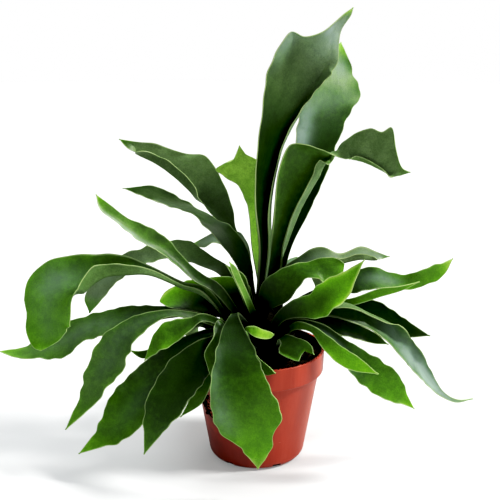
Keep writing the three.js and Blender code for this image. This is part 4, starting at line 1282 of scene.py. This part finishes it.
class FERN_OT_litter(Maker, bpy.types.Operator):
    """Crumbs of soil on the rim and stuck to the outside of the pot, and pale grit on the soil"""
    bl_idname = "fern.litter"
    bl_label = "Stray crumbs"

    def execute(self, context):
        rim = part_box("pot")[1].z
        tall = round(rim / MM) - POT["collar"] - POT["heel"]
        rng = random.Random(23)
        crumbs, grit = [], []
        for _ in range(RIM_CRUMBS["count"]):
            there = rng.random() < RIM_CRUMBS["share_there"]
            angle = math.radians(rng.gauss(*RIM_CRUMBS["at"]) if there else rng.uniform(0, 360))
            radius = drawn(rng, RIM_CRUMBS["radius"])
            size = drawn(rng, RIM_CRUMBS["size"])
            crumbs.append((
                round_z(radius, angle, rim + size * 0.22), tumble(rng), (size, size * 0.8, size * 0.6)))
        middle, spread = SMEAR["at"]
        for _ in range(SMEAR["count"]):
            drop = min(abs(rng.gauss(0, 1)), 2.2)
            z = (SMEAR["height"] + SMEAR["reach"] * rng.uniform(-1.6, 1.6)) * MM
            angle = math.radians(middle + rng.gauss(0, spread) + 3 * math.sin(z * 300))
            radius = (POT["base"] + (POT["body"] - POT["base"]) * (z / MM - POT["heel"]) / tall) * MM
            size = drawn(rng, SMEAR["size"]) * (1.15 - 0.3 * drop)
            crumbs.append((round_z(radius, angle, z), tumble(rng), (size, size * 0.8, size * 0.8)))
        for _ in range(GRIT["count"]):
            angle = math.radians(rng.gauss(*GRIT["at"]))
            radius = drawn(rng, GRIT["radius"])
            size = drawn(rng, GRIT["size"])
            grit.append((on_soil(radius, angle, size * 0.8), tumble(rng), (size, size * 0.8, size * 0.7)))
        pale = material_from("grit", earth, *GRIT_BROWNS)
        settle(scattered("stray_crumbs", chips((31, 32, 33)), crumbs, peat(context)), 40, "soil")
        settle(scattered("pale_grit", chips((41, 42), 0.3), grit, pale), 40, "soil")
        return {"FINISHED"}


# ---- studio ----
def light(name, kind, location, turn, power, colour, **settings):
    deselect()
    bpy.ops.object.light_add(type=kind, location=location, rotation=turn)
    lamp = name_new(name).data
    lamp.energy = power
    lamp.color = colour
    for key, value in settings.items():
        setattr(lamp, key, value)


def pale_sky():
    """Light that comes mostly from above; the backdrop itself is plain white."""
    world = bpy.data.worlds.new("studio")
    world.use_nodes = True
    tree = world.node_tree
    sky = tree.nodes["Background"]
    upward = made(tree, "ShaderNodeTexCoord", "Generated", {}).axes()[2]
    feed(tree, upward.between(-0.1, 0.9, *SKY_LIGHT), sky.inputs["Strength"])
    feed(tree, (0.95, 0.98, 0.97), sky.inputs["Color"])
    backdrop = made(tree, "ShaderNodeBackground", 0, {"Color": (1, 1, 1), "Strength": 1.0})
    mix = made(tree, "ShaderNodeMixShader", 0, {0: seen(tree), 1: Wire(tree, sky.outputs[0]), 2: backdrop})
    feed(tree, mix, tree.nodes["World Output"].inputs["Surface"])
    bpy.context.scene.world = world


def studio_floor(tree):
    return {
        "Base Color": (0.6, 0.605, 0.61), "Roughness": 0.9, "Specular IOR Level": 0.1,
        "Emission Color": (0.97, 0.98, 1), "Emission Strength": seen(tree) * FLOOR_GLOW}


class FERN_OT_studio(Maker, bpy.types.Operator):
    """Pale floor, soft light from above and the right, and the camera"""
    bl_idname = "fern.studio"
    bl_label = "Studio"

    def execute(self, context):
        deselect()
        bpy.ops.mesh.primitive_circle_add(vertices=96, radius=6, fill_type="NGON")
        floor = name_new("floor_disc")
        floor.data.materials.append(material_from("studio floor", studio_floor))

        turn = (0, math.radians(90 - KEY["elevation"]), math.radians(KEY["azimuth"]))
        light("key", "SUN", (0, 0, 1), turn, KEY["power"], (1, 0.99, 0.96), angle=math.radians(KEY["spread"]))
        place = Vector(TOP["place"])
        turn = (Vector(TOP["target"]) - place).to_track_quat("-Z", "Y").to_euler()
        light("top", "AREA", place, turn, TOP["power"], (0.95, 0.98, 1), shape="DISK", size=TOP["size"])
        pale_sky()

        bpy.ops.object.camera_add(
            location=CAMERA["place"],
            rotation=(math.radians(90 - CAMERA["down"]), 0, math.radians(CAMERA["turn"])))
        camera = name_new("camera")
        camera.data.sensor_width = CAMERA["sensor"]
        camera.data.lens = CAMERA["sensor"] * CAMERA["focal"] / CAMERA["width"]
        bpy.context.scene.camera = camera
        view = bpy.context.scene.view_settings
        view.view_transform = "Standard"
        view.use_curve_mapping = True
        curves = view.curve_mapping
        curves.black_level = (BLACK_LEVEL,) * 3
        for level, shown in CONTRAST:
            curves.curves[3].points.new(level, shown)
        curves.update()
        return {"FINISHED"}


OPERATORS = (
    FERN_OT_pot, FERN_OT_soil, FERN_OT_crown, FERN_OT_upright, FERN_OT_left, FERN_OT_right, FERN_OT_middle,
    FERN_OT_rear, FERN_OT_litter, FERN_OT_studio)


class FERN_PT_panel(bpy.types.Panel):
    bl_label = "Potted staghorn fern"
    bl_idname = "FERN_PT_panel"
    bl_space_type = "VIEW_3D"
    bl_region_type = "UI"
    bl_category = "Fern"

    def draw(self, context):
        layout = self.layout
        for name, group in SETTINGS.items():
            box = layout.box()
            for key in group.__annotations__:
                box.prop(getattr(context.scene, name), key)
        for operator in OPERATORS:
            layout.operator(operator.bl_idname)


def register():
    for name, group in SETTINGS.items():
        bpy.utils.register_class(group)
        setattr(bpy.types.Scene, name, bpy.props.PointerProperty(type=group))
    for operator in OPERATORS:
        bpy.utils.register_class(operator)
    bpy.utils.register_class(FERN_PT_panel)


def unregister():
    bpy.utils.unregister_class(FERN_PT_panel)
    for operator in reversed(OPERATORS):
        bpy.utils.unregister_class(operator)
    for name, group in SETTINGS.items():
        delattr(bpy.types.Scene, name)
        bpy.utils.unregister_class(group)


def main():
    register()
    for operator in OPERATORS:
        group, name = operator.bl_idname.split(".")
        getattr(getattr(bpy.ops, group), name)()


if __name__ == "__main__":
    main()
